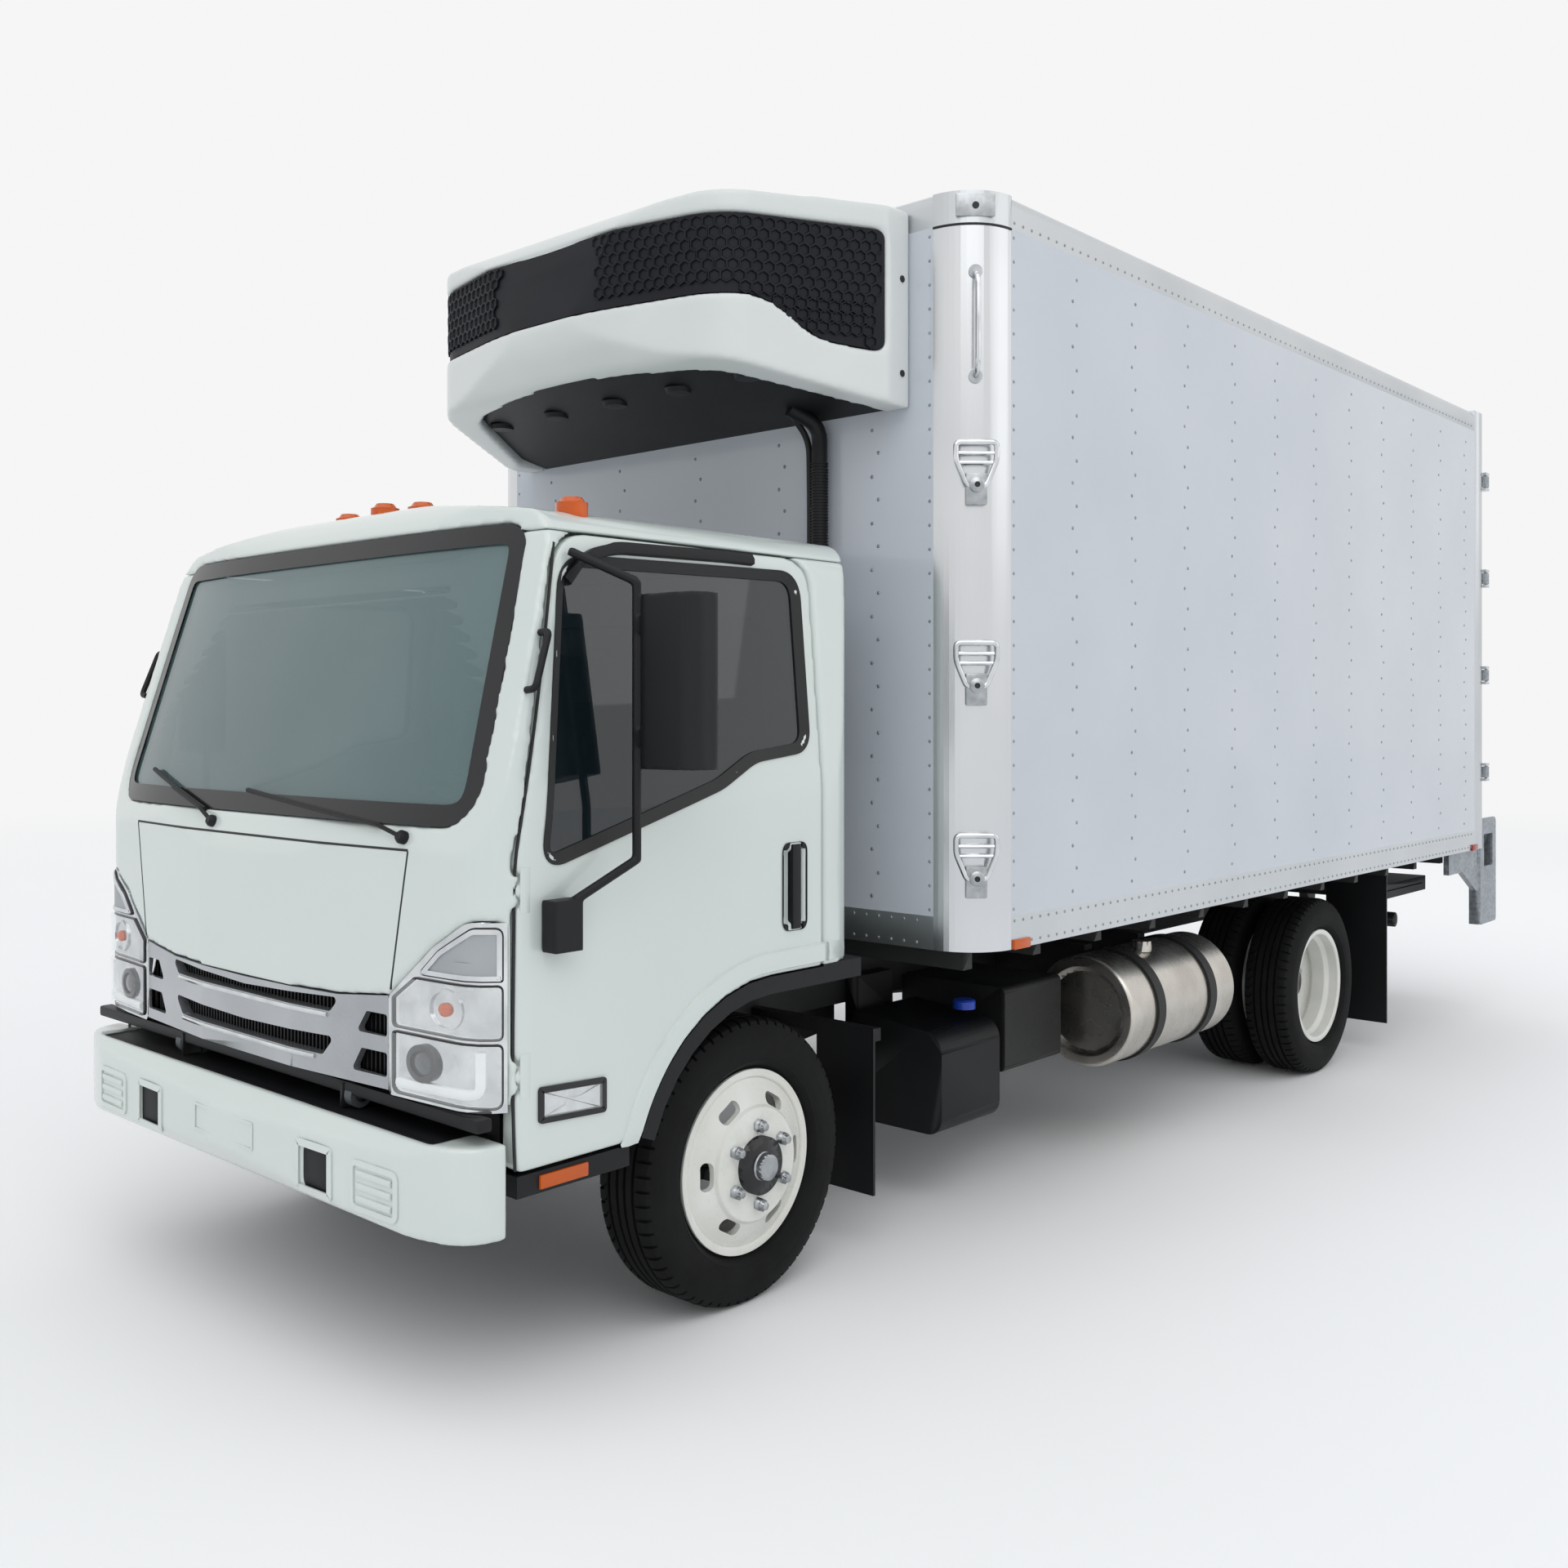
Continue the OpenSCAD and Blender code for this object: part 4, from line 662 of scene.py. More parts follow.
# rivet head: a pressed ball
def rivetShape(tree, given):
    ball = addNode(tree, "GeometryNodeMeshUVSphere", {"Segments": 8, "Rings": 4, "Radius": given["Radius"]})
    press = addNode(tree, "ShaderNodeCombineXYZ", {"X": 1.0, "Y": 1.0, "Z": given["Flatness"]})
    head = addNode(tree, "GeometryNodeTransform",
                   {"Geometry": ball.outputs["Mesh"], "Scale": press.outputs[0]})
    smooth = addNode(tree, "GeometryNodeSetShadeSmooth", {"Geometry": head.outputs["Geometry"]})
    return smooth.outputs["Geometry"]


# honeycomb cell: a six-sided wall with a lip, and a pit that narrows towards its bottom
def cellShape(tree, given):
    cell = dict(pit=-0.85, narrow=0.82)
    hexagon = addNode(tree, "GeometryNodeMeshCircle", {"Vertices": 6, "Radius": given["Radius"]},
                      fill_type="NGON")
    wall = addNode(tree, "GeometryNodeExtrudeMesh",
                   {"Mesh": hexagon.outputs["Mesh"], "Offset Scale": given["Height"]})
    lip = addNode(tree, "GeometryNodeExtrudeMesh",
                  {"Mesh": wall.outputs["Mesh"], "Selection": wall.outputs["Top"], "Offset Scale": 0.0})
    inner = addNode(tree, "GeometryNodeScaleElements",
                    {"Geometry": lip.outputs["Mesh"], "Selection": lip.outputs["Top"],
                     "Scale": given["Opening"]})
    down = addNode(tree, "ShaderNodeMath", {0: given["Height"], 1: cell["pit"]}, operation="MULTIPLY")
    pit = addNode(tree, "GeometryNodeExtrudeMesh",
                  {"Mesh": inner.outputs["Geometry"], "Selection": lip.outputs["Top"],
                   "Offset Scale": down.outputs[0]})
    bottom = addNode(tree, "GeometryNodeScaleElements",
                     {"Geometry": pit.outputs["Mesh"], "Selection": pit.outputs["Top"],
                      "Scale": cell["narrow"]})
    return bottom.outputs["Geometry"]


# upright slat of the grille
def slatShape(tree, given):
    size = addNode(tree, "ShaderNodeCombineXYZ",
                   {"X": given["Width"], "Y": given["Height"], "Z": given["Depth"]})
    return addNode(tree, "GeometryNodeMeshCube", {"Size": size.outputs[0]}).outputs["Mesh"]


slatTree = repeatTree("slatTree", ("Width", "Height", "Depth"), slatShape)
rivetTree = repeatTree("rivetTree", ("Radius", "Flatness"), rivetShape)
cellTree = repeatTree("cellTree", ("Radius", "Height", "Opening"), cellShape)


# the CAD faces of some nodes, for rays to meet
def surfaceOf(*nodes):
    corners, faces = [], []
    for node in nodes:
        mesh = frame["nodes"][node].data
        start = len(corners)
        corners += [v.co.copy() for v in mesh.vertices]
        faces += [[start + i for i in p.vertices] for p in mesh.polygons]
    return BVHTree.FromPolygons(corners, faces)


# places from low on, short of high
def evenly(low, high, step):
    return [low + k * step for k in range(math.ceil((high - low) / step))]


# box rivets: upright rows on the panels, close rows on the rails and posts
def makeRivets():
    rows = dict(pitch=406.4, first=1300, sides=11, front=(-2, -1, 0, 1, 2), stagger=13, step=152,
                low=1085, high=3190)
    rails = dict(step=51, first=930, last=5500, low=(952, 1022), high=3236, half=1010)
    posts = dict(step=76, low=1060, high=3200, side=925, front=1030)
    head = dict(panel=6.5, rail=5.5, flatness=0.45)
    side, face = truck["boxSide"], truck["boxFront"]
    # two rows beside a seam, half a step apart
    seam = [(shift, z) for shift, off in ((-rows["stagger"], 0), (rows["stagger"], 0.5))
            for z in evenly(rows["low"] + off * rows["step"], rows["high"], rows["step"])]
    panelSpots, railSpots = [], []
    for s in (1, -1):
        out = sideways * s
        for i in range(rows["sides"]):
            u = rows["first"] + i * rows["pitch"]
            panelSpots += [(at(s * side, u + shift, z), out, backward) for shift, z in seam]
        for u in evenly(rails["first"], rails["last"], rails["step"]):
            railSpots += [(at(s * side, u, z), out, backward) for z in (*rails["low"], rails["high"])]
        for z in evenly(posts["low"], posts["high"], posts["step"]):
            railSpots.append((at(s * side, posts["side"], z), out, backward))
            railSpots.append((at(s * posts["front"], face, z), forward, sideways))
    for i in rows["front"]:
        panelSpots += [(at(i * rows["pitch"] + shift, face, z), forward, sideways) for shift, z in seam]
    for x in evenly(-rails["half"], rails["half"], rails["step"]):
        railSpots += [(at(x, face, z), forward, sideways) for z in rails["low"]]
    for kind, spots in (("panel", panelSpots), ("rail", railSpots)):
        size = {"Radius": head[kind] * mm, "Flatness": head["flatness"]}
        repeat(kind + "Rivets", rivetTree, size, spots, "chassis", rivetSteel)


# honeycomb: cells set on the band, row by row, round the plan of the unit
def makeHoneycomb():
    comb = dict(pitch=38, height=7, opening=0.84, low=2810, high=3192)
    # the middle stays bare: half its width at a height, and how it narrows upwards
    bare = dict(half=265, height=3000, slant=0.12)
    # a cell is set where the band goes on above, below and beside it
    room = dict(turn=1.3, rise=20, apart=0.06, slope=0.5)
    scan = dict(radius=2.0, depth=1.9, turn=0.1, turns=1200)
    band = surfaceOf("unit_grille")
    middle = at(0, truck["boxFront"], 0)

    # a look at the band from outside, towards the middle of the box's front
    def look(side, degrees, z):
        angle = math.radians(degrees)
        way = Vector((side * math.sin(angle), -math.cos(angle), 0))
        start = Vector((middle.x, middle.y, z * mm)) + way * scan["radius"]
        return band.ray_cast(start, -way, scan["depth"])[:2]

    def fits(side, degrees, z, spot, facing):
        edge = bare["half"] - (z - bare["height"]) * bare["slant"]
        if facing.z ** 2 >= room["slope"] or abs(spot.x) / mm <= edge:
            return False
        upDown = [look(side, degrees, z + rise)[0] for rise in (-room["rise"], room["rise"])]
        beside = [look(side, degrees + turn, z)[0] for turn in (-room["turn"], room["turn"])]
        return None not in upDown and all(p is not None and (p - spot).length < room["apart"] for p in beside)

    spots = []
    for side in (1, -1):
        for row, z in enumerate(evenly(comb["low"], comb["high"], comb["pitch"] * math.sqrt(3) / 2)):
            # the band is walked in equal steps from the middle outwards, every second row half a step on
            travelled, last = 0.0, None
            want = comb["pitch"] * (row % 2) / 2
            for turn in range(scan["turns"]):
                degrees = turn * scan["turn"]
                spot, facing = look(side, degrees, z)
                if spot is None:
                    continue
                if last is not None:
                    travelled += (spot - last).length / mm
                last = spot
                while travelled >= want:
                    want += comb["pitch"]
                    if fits(side, degrees, z, spot, facing):
                        spots.append((spot, facing, upward))
    size = {"Radius": comb["pitch"] / math.sqrt(3) * mm, "Height": comb["height"] * mm,
            "Opening": comb["opening"]}
    repeat("unitHoneycomb", cellTree, size, spots, "chassis", unitBlack)
    print("honeycomb cells", len(spots))


makeRivets()
makeHoneycomb()


# cab pieces

# where a look from the front meets the screen, and not the rear window behind it
def screenSpot(surface, x, z):
    rearmost = -400
    ray, start = viewRays["front"]
    spot = surface.ray_cast(start(x, z), ray)[0]
    return spot if spot is not None and spot.y < at(0, rearmost, 0).y else None


# smooth skin through the screen's facets: depth as a low polynomial of x and z
def fitSkin(surface, halfWidth, low, high):
    grid = dict(columns=41, rows=25, level=1.8)

    def terms(x, z):
        x, z = x * mm, z * mm - grid["level"]
        return [1, x ** 2, x ** 4, z, z ** 2, z * x ** 2]

    known, depths = [], []
    for x in numpy.linspace(-halfWidth, halfWidth, grid["columns"]):
        for z in numpy.linspace(low, high, grid["rows"]):
            spot = screenSpot(surface, x, z)
            if spot is not None:
                known.append(terms(x, z))
                depths.append(spot.y)
    factors = numpy.linalg.lstsq(numpy.array(known), numpy.array(depths), rcond=None)[0]

    def depth(x, z):
        return float(numpy.dot(terms(x, z), factors))

    def skin(x, z):
        slopeX = (depth(x + 1, z) - depth(x - 1, z)) / (2 * mm)
        slopeZ = (depth(x, z + 1) - depth(x, z - 1)) / (2 * mm)
        return Vector((x * mm, depth(x, z), z * mm)), Vector((slopeX, -1, slopeZ)).normalized()

    return skin


# outline of the screen seen from the front: its side edges run straight between the rounded corners
def paneOutline(surface, low, high, lowRound, highRound):
    search = dict(rows=12, halvings=14, widest=1100.0)
    heights = numpy.linspace(low + (high - low) * 0.25, low + (high - low) * 0.75, search["rows"])
    edges = []
    for z in heights:
        inside, outside = 0.0, search["widest"]
        for k in range(search["halvings"]):
            middle = (inside + outside) / 2
            if screenSpot(surface, middle, z) is not None:
                inside = middle
            else:
                outside = middle
        edges.append(inside)
    slope, start = numpy.polyfit(heights, edges, 1)
    foot, head = start + slope * low, start + slope * high
    corners = [(foot, low, lowRound), (head, high, highRound),
               (-head, high, highRound), (-foot, low, lowRound)]
    return closedWalk(roundOff(corners, 8), 40)


def circleArc(x, y, radius, angles):
    return [Vector((x + radius * math.cos(a), y + radius * math.sin(a))) for a in angles]


def circle(x, y, radius, sides=28):
    return circleArc(x, y, radius, [2 * math.pi * k / sides for k in range(sides)])


# closed band of even width along a path that lies on a surface, its edges sloped
def strip(name, surface, view, path, width, body, material, lift=0.3, thick=2.0, crown=0.0):
    top, slope = lift + thick, 0.86
    profile = ((1, lift), (slope, top), (0, top + crown), (-slope, top), (-1, lift))
    bm = bmesh.new()
    stations = []
    for i, here in enumerate(path):
        along = (path[min(i + 1, len(path) - 1)] - path[max(i - 1, 0)]).normalized()
        side = Vector((-along.y, along.x)) * width / 2
        section = []
        for across, height in profile:
            p = here + side * across
            spot, facing = drape(surface, view, p.x, p.y)
            section.append(bm.verts.new(spot + facing * height * mm))
        stations.append(section)
    for first, second in zip(stations, stations[1:]):
        bridge(bm, first, second)
    bm.faces.new(stations[0])
    bm.faces.new(stations[-1])
    return fromBmesh(name, bm, body, material, 40)


# points along a polyline no further apart than the step
def walk(points, step):
    path = []
    for p, q in zip(points, points[1:]):
        count = max(1, math.ceil((q - p).length / step))
        path += [p.lerp(q, k / count) for k in range(count)]
    return path + [points[-1]]


# the same round a closed outline
def closedWalk(points, step):
    return walk(points + points[:1], step)[:-1]


def flat(pairs):
    return [Vector(p) for p in pairs]


# outline or path on the other side of the truck where s is -1
def onSide(points, s):
    return [Vector((s * p.x, p.y)) for p in points]


def oblong(left, low, right, high, radius):
    return roundOff([(left, low, radius), (right, low, radius), (right, high, radius), (left, high, radius)])


def blocks(name, boxes, body, material, bevel=3):
    bm = bmesh.new()
    for low, high in boxes:
        addBlock(bm, at(*low), at(*high), bevel)
    return fromBmesh(name, bm, body, material, 40)


# pairs of corners, on the other side of the truck where s is -1
def sideBoxes(corners, s):
    boxes = []
    for low, high in zip(corners[::2], corners[1::2]):
        near, far = sorted((s * low[0], s * high[0]))
        boxes.append(((near, *low[1:]), (far, *high[1:])))
    return boxes


# windscreen with its printed black edge, rear window
def makeGlass():
    glass = dict(low=1407, high=2160, fit=930, lowRound=110, highRound=90, edge=52,
                 shells=(0.96, 0.88, 0.76, 0.6, 0.44, 0.28, 0.12))
    panes = surfaceOf("cab_glass")
    skin = fitSkin(panes, glass["fit"], glass["low"], glass["high"])
    outline = paneOutline(panes, glass["low"], glass["high"], glass["lowRound"], glass["highRound"])
    screen = plate("windscreen", skin, "front", outline, "cab", screenGlass, lift=-6, thick=5,
                   shells=glass["shells"])
    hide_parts("cab_glass")
    plate("screenFrit", skin, "front", outline, "cab", glossBlack, lift=3.2, thick=2.0, rim=glass["edge"])
    back = dict(outline=((620, 1500, 60), (600, 1990, 60), (-600, 1990, 60), (-620, 1500, 60)),
                pane=430, seal=450)
    window = roundOff(back["outline"])
    plate("rearWindow", lambda x, z: (at(x, back["pane"], z), backward), "back", inset(window, 6), "cab",
          sideGlass, lift=-5, thick=5)
    plate("rearWindowSeal", lambda x, z: (at(x, back["seal"], z), backward), "back", inset(window, -14),
          "cab", sealRubber, lift=-18, thick=21, rim=28)
    makeWipers(skin)


# wipers: each blade and its rubber follow the screen; the arm stands off it
def makeWipers(skin):
    wiper = dict(pivots=((-204, 1372), (702, 1376)), tips=((-671, 1505), (-46, 1464)), heel=0.12, heelRise=14,
                 blade=7, bladeOff=12, rubber=3, arm=6, armOff=26, step=45,
                 cap=[(0, -12), (17, -12), (17, 16), (11, 24), (0, 24)])
    bm = bmesh.new()
    for pivot, tip in zip(flat(wiper["pivots"]), flat(wiper["tips"])):
        heel = pivot.lerp(tip, wiper["heel"]) + Vector((0, wiper["heelRise"]))
        spots = [skin(p.x, p.y) for p in walk([heel, tip], wiper["step"])]
        addTube(bm, [s + n * wiper["bladeOff"] * mm for s, n in spots], wiper["blade"], 8)
        addTube(bm, [s + n * wiper["rubber"] * mm for s, n in spots], wiper["rubber"], 6)
        knuckle, facing = skin(*pivot)
        arm = [s + n * wiper["armOff"] * mm for s, n in spots[:len(spots) * 3 // 5]]
        addTube(bm, bendPath([knuckle + facing * 14 * mm] + arm, 0.012), wiper["arm"], 8)
        addLathe(bm, wiper["cap"], knuckle, facing, 18)
    fromBmesh("wipers", bm, "cab", mouldedBlack, 40)


# headlamps: silver cap, turn lamp and projector under clear covers; a corner at 0 lies on the outer edge
def makeHeadlamps():
    lamp = dict(bulb=(690, 975), bowl=50, bulbSize=17, eye=(626, 836), eyeSize=46, eyeBall=31, margin=12,
                guide=((786, 884), (786, 782), (548, 778)), guideWidth=26)
    outlines = dict(cap=((616, 1052, 6), (0, 1052, 4), (0, 1174, 18), (764, 1174, 40), (672, 1112, 90)),
                    turn=((533, 914, 12), (0, 914, 12), (0, 1038, 12), (600, 1038, 10), (533, 982, 10)),
                    low=((533, 752, 20), (0, 752, 20), (0, 899, 12), (533, 899, 10)))
    face = surfaceOf("cab_lamps")
    ray, start = viewRays["frontLeft"]
    edge = max(a for a in range(700, 900) if face.ray_cast(start(a, 830), ray)[0]) - lamp["margin"]
    shape = {key: closedWalk(roundOff([(a or edge, b, r) for a, b, r in corners]), 40)
             for key, corners in outlines.items()}
    guide = walk(bendPath(flat(lamp["guide"]), lamp["guideWidth"]), 30)
    for side in ("Left", "Right"):
        view = "front" + side
        plate("lampCap" + side, face, view, shape["cap"], "cab", capSilver, lift=2, thick=3)
        plate("lampCapRim" + side, face, view, shape["cap"], "cab", chromePlate, lift=3, thick=6, rim=12)
        for key, outline in shape.items():
            plate(key + "Seam" + side, face, view, inset(outline, -4), "cab", glossBlack, thick=5, rim=5)
        bowl, bulb = circle(*lamp["bulb"], lamp["bowl"]), circle(*lamp["bulb"], lamp["bulbSize"], 18)
        plate("turnRing" + side, face, view, bowl, "cab", chromePlate, thick=6, rim=7)
        plate("turnBulb" + side, face, view, bulb, "cab", amberLens, thick=5, dome=9)
        ring, ball = circle(*lamp["eye"], lamp["eyeSize"]), circle(*lamp["eye"], lamp["eyeBall"])
        plate("eyeRing" + side, face, view, ring, "cab", glossBlack, thick=12, rim=14)
        plate("eyeBall" + side, face, view, ball, "cab", eyeGlass, thick=3, dome=9)
        strip("lightGuide" + side, face, view, guide, lamp["guideWidth"], "cab", guideAcrylic,
              thick=8, crown=3)
        for key in ("turn", "low"):
            plate(key + "Cover" + side, face, view, shape[key], "cab", lampLens, lift=15, thick=2)


# grille mesh, dark backing, bright lips under the openings, and painted shade: black panels in the gap under
# lamps and grille
def makeGrille():
    mesh = dict(step=17, half=620, low=752, high=950, depth=-1004, bow=26, slat=6, thick=14)
    count = int(mesh["half"] * 2 / mesh["step"])
    places = [(i - count / 2) * mesh["step"] for i in range(count + 1)]
    middle = (mesh["low"] + mesh["high"]) / 2
    spots = [(at(x, mesh["depth"] + mesh["bow"] * (x / mesh["half"]) ** 2, middle), forward, sideways)
             for x in places]
    size = {"Width": mesh["slat"] * mm, "Height": (mesh["high"] - mesh["low"]) * mm,
            "Depth": mesh["thick"] * mm}
    repeat("grilleSlats", slatTree, size, spots, "cab", mouldedBlack)
    boxes = dict(backing=[((-630, -972, 748), (630, -964, 958))],
                 shelf=[((-1000, -1004, 704), (1000, -960, 737))],
                 gap=[((-900, -1036, 470), (900, -1018, 664)), ((-900, -1030, 648), (900, -840, 664))])
    blocks("grilleBacking", boxes["backing"], "cab", chassisBlack)
    blocks("lampShelf", boxes["shelf"], "cab", mouldedBlack, 8)
    # painted shade: dark panels in the gap behind and above the bumper stand in for the shaded space one sees
    # into there
    blocks("bumperGapShade", boxes["gap"], "chassis", mouldedBlack, 4)
    # half width of an opening, and the heights its lower edge is looked for between
    lips = dict(Upper=(400, 868, 950), Lower=(372, 770, 850))
    lip = dict(below=10, width=13, step=40)
    bars = surfaceOf("grille")
    ray, start = viewRays["front"]
    for name, (half, low, high) in lips.items():
        path = []
        for x in range(-half, half + 1, lip["step"]):
            free = [z for z in range(low, high) if bars.ray_cast(start(x, z), ray)[0] is None]
            path += [Vector((x, z - lip["below"])) for z in free[:1]]
        strip("grilleLip" + name, bars, "front", path, lip["width"], "cab", chromePlate, thick=3, crown=3)


# shut lines of the lid; tow eyes, lamp places and blank plate of the bumper
def makeFront():
    lid = dict(side=((722, 1345), (690, 1180), (656, 1000)), top=((-722, 1347), (722, 1347)),
               lift=-1.5, thick=2.2)
    skin = surfaceOf("cab_front_frame")
    for side, s in (("Left", 1), ("Right", -1)):
        path = onSide(walk(flat(lid["side"]), 40), s)
        strip("lidLine" + side, skin, "front", path, 6, "cab", sealRubber, lid["lift"], lid["thick"])
    strip("cowlLine", skin, "front", walk(flat(lid["top"]), 40), 7, "cab", sealRubber, lid["lift"],
          lid["thick"])
    places = dict(towX=447, towHalf=62, tow=(366, 466, 529, 600, 16), fog=(610, 470, 800, 594, 26),
                  ribs=(500, 531, 562), ribEnds=(636, 776), plate=(-160, 520, 160, 596, 8))
    shades = [((x - places["towHalf"], -1092, 476), (x + places["towHalf"], -1084, 590))
              for x in (-places["towX"], places["towX"])]
    blocks("towShade", shades, "chassis", mouldedBlack, 2)
    bumper = surfaceOf("front_bumper")
    for side, s in (("Left", 1), ("Right", -1)):
        plate("towFrame" + side, bumper, "front", onSide(oblong(*places["tow"]), s), "chassis", cabEnamel,
              thick=5, rim=18)
        plate("fogFrame" + side, bumper, "front", onSide(oblong(*places["fog"]), s), "chassis", cabEnamel,
              thick=5, rim=14)
        for z in places["ribs"]:
            rib = onSide(walk(flat([(x, z) for x in places["ribEnds"]]), 40), s)
            strip("fogRib%d" % z + side, bumper, "front", rib, 17, "chassis", cabEnamel, thick=4, crown=2)
    plate("plateFrame", bumper, "front", oblong(*places["plate"]), "chassis", cabEnamel, thick=2.5, rim=7)


# cab doors: window seals, handles, side lamps, visors, shut lines, hinge covers and wheel arch bands
def makeDoor(side, s):
    door = dict(
        glass=((-812, 1318, 40), (-715, 2062, 90), (165, 2078, 70), (165, 1585, 60), (-60, 1560, 200),
               (-200, 1490, 300)),
        cup=(48, 1062, 152, 1314, 30), hinges=(820, 1262),
        handle=((989, 62, 1077), (993, 138, 1298), (1003, 82, 1067), (1025, 118, 1308)),
        lamp=((-838, 700, 12), (-622, 688, 12), (-622, 776, 12), (-838, 788, 12)),
        visor=((-700, 2010), (-640, 2078), (-540, 2104), (-140, 2112), (-20, 2112)))
    skin = surfaceOf("cab_door_" + side, "door_glass_" + side)
    body = "cab_door_" + side
    glass = closedWalk(roundOff(door["glass"], 10), 60)
    plate("windowSeal_" + side, skin, side, inset(glass, -16), body, sealRubber, thick=4, rim=30)
    plate("handleCup_" + side, skin, side, oblong(*door["cup"]), body, mouldedBlack, thick=4, rim=15)
    blocks("handle_" + side, sideBoxes(door["handle"], s), body, mouldedBlack, 4)
    lamp = roundOff(door["lamp"])
    plate("sideLampRim_" + side, skin, side, lamp, body, glossBlack, thick=7, rim=15)
    plate("sideLampBowl_" + side, skin, side, inset(lamp, 14), body, lampReflector, thick=2)
    plate("sideLampCover_" + side, skin, side, inset(lamp, 13), body, lampLens, lift=5, thick=2)
    visor = walk(bendPath(flat(door["visor"]), 40), 40)
    strip("doorVisor_" + side, skin, side, visor, 30, body, mouldedBlack, thick=14, crown=3)
    makeShutLine(side, s)
    for z in door["hinges"]:
        makeHingeCover(side, skin, z)
    arch = dict(u=10, z=410, radius=575, first=167, sweep=71, parts=24, width=58, door=(60, 226),
                cab=(246, 330, 440), lift=-1, thick=8, crown=2)
    angles = [math.radians(arch["first"] - arch["sweep"] * k / arch["parts"])
              for k in range(arch["parts"] + 1)]
    top = arch["z"] + arch["radius"]
    arc = circleArc(arch["u"], arch["z"], arch["radius"], angles) + flat([(u, top) for u in arch["door"]])
    form = (arch["lift"], arch["thick"], arch["crown"])
    strip("archBand_" + side, skin, side, arc, arch["width"], body, cabEnamel, *form)
    tail = flat([(u, top) for u in arch["cab"]])
    strip("archTail_" + side, surfaceOf("cab_rear"), side, tail, arch["width"], "cab", cabEnamel, *form)


# shut line ahead of a door: a smooth curve through the pillar's facets
def makeShutLine(side, s):
    line = dict(path=((-902, 600), (-902, 1324), (-738, 2105)), bend=60, width=8, ahead=12, degree=4)
    path = walk(bendPath(flat(line["path"]), line["bend"]), 40)
    pillar = surfaceOf("cab_front_frame")
    sides = [drape(pillar, side, p.x - line["ahead"], p.y)[0].x for p in path]
    bulge = numpy.polyfit([p.y for p in path], sides, line["degree"])
    facing = Vector((s, -0.25, 0)).normalized()

    def skin(u, z):
        return Vector((float(numpy.polyval(bulge, z)), at(0, u, 0).y, z * mm)), facing

    strip("doorGap_" + side, skin, side, path, line["width"], "cab", sealRubber, lift=-3, thick=4.5)


# cover over a door hinge, straight between the door's skin above and below it
def makeHingeCover(side, skin, z):
    cover = dict(u=-874, half=54, reach=56, width=28)

    def between(a, b):
        low, high = (drape(skin, side, a, z + rise) for rise in (-cover["reach"], cover["reach"]))
        return low[0].lerp(high[0], (b - z + cover["reach"]) / (2 * cover["reach"])), low[1]

    path = flat([(cover["u"], z + rise) for rise in (-cover["half"], 0, cover["half"])])
    strip("hingeCover%d_" % z + side, between, side, path, cover["width"], "cab_door_" + side, cabEnamel,
          lift=-1, thick=1.4)


# doors, pillar grips, sill lamps and mirror glasses, side by side
def makeCabSides():
    grip = dict(ends=((-852, 1738), (-800, 1878)), off=34, bend=0.016, radius=9)
    sill = ((1000, -825, 538), (1010, -672, 572))
    mirror = ((1128, -502, 1700), (1284, -497, 1955), (1128, -502, 1568), (1284, -497, 1678))
    pillar = surfaceOf("cab_front_frame")
    for side, s in (("left", 1), ("right", -1)):
        makeDoor(side, s)
        (low, lowFacing), (high, highFacing) = (drape(pillar, side, *end) for end in grip["ends"])
        span = [low, low + lowFacing * grip["off"] * mm, high + highFacing * grip["off"] * mm, high]
        tube("pillarGrip_" + side, bendPath(span, grip["bend"]), grip["radius"], "cab", mouldedBlack)
        blocks("sillLamp_" + side, sideBoxes(sill, s), "cab", amberLens, 4)
        blocks("mirrorGlass_" + side, sideBoxes(mirror, s), "cab_door_" + side, chromePlate, 1)


# one crowned cushion: a cube with its corners drawn in, sewn channels along it and a seam across it;
# half its sizes in mm, how far it leans back, and whether its seat face is the top or the front
def addCushion(bm, middle, half, lean, channels, top):
    pad = dict(cuts=20, round=0.55, seat=0.9, seam=0.1, channelDip=0.16, channelWidth=0.05, seamDip=0.1,
               seamWidth=0.06)
    one = bmesh.new()
    bmesh.ops.create_cube(one, size=2.0)
    bmesh.ops.subdivide_edges(one, edges=one.edges[:], cuts=pad["cuts"], use_grid_fill=True)
    for v in one.verts:
        p = v.co.copy()
        even = max(abs(c) for c in p) / sum(c ** 4 for c in p) ** 0.25
        q = p * (pad["round"] * even + 1 - pad["round"])
        if (p.z if top else -p.y) > pad["seat"]:
            groove = min((abs((p.x + 1) * channels / 2 - k) for k in range(1, channels)), default=1)
            cross = abs((p.y if top else p.z) - pad["seam"])
            dip = pad["channelDip"] * math.exp(-(groove / pad["channelWidth"]) ** 2)
            dip += pad["seamDip"] * math.exp(-(cross / pad["seamWidth"]) ** 2)
            q -= upward * dip if top else forward * dip
        v.co = at(middle[0] + q.x * half[0], middle[1] + q.y * half[1] + q.z * half[2] * lean,
                  middle[2] + q.z * half[2])
    bm.from_mesh(meshOf("cushion", one))


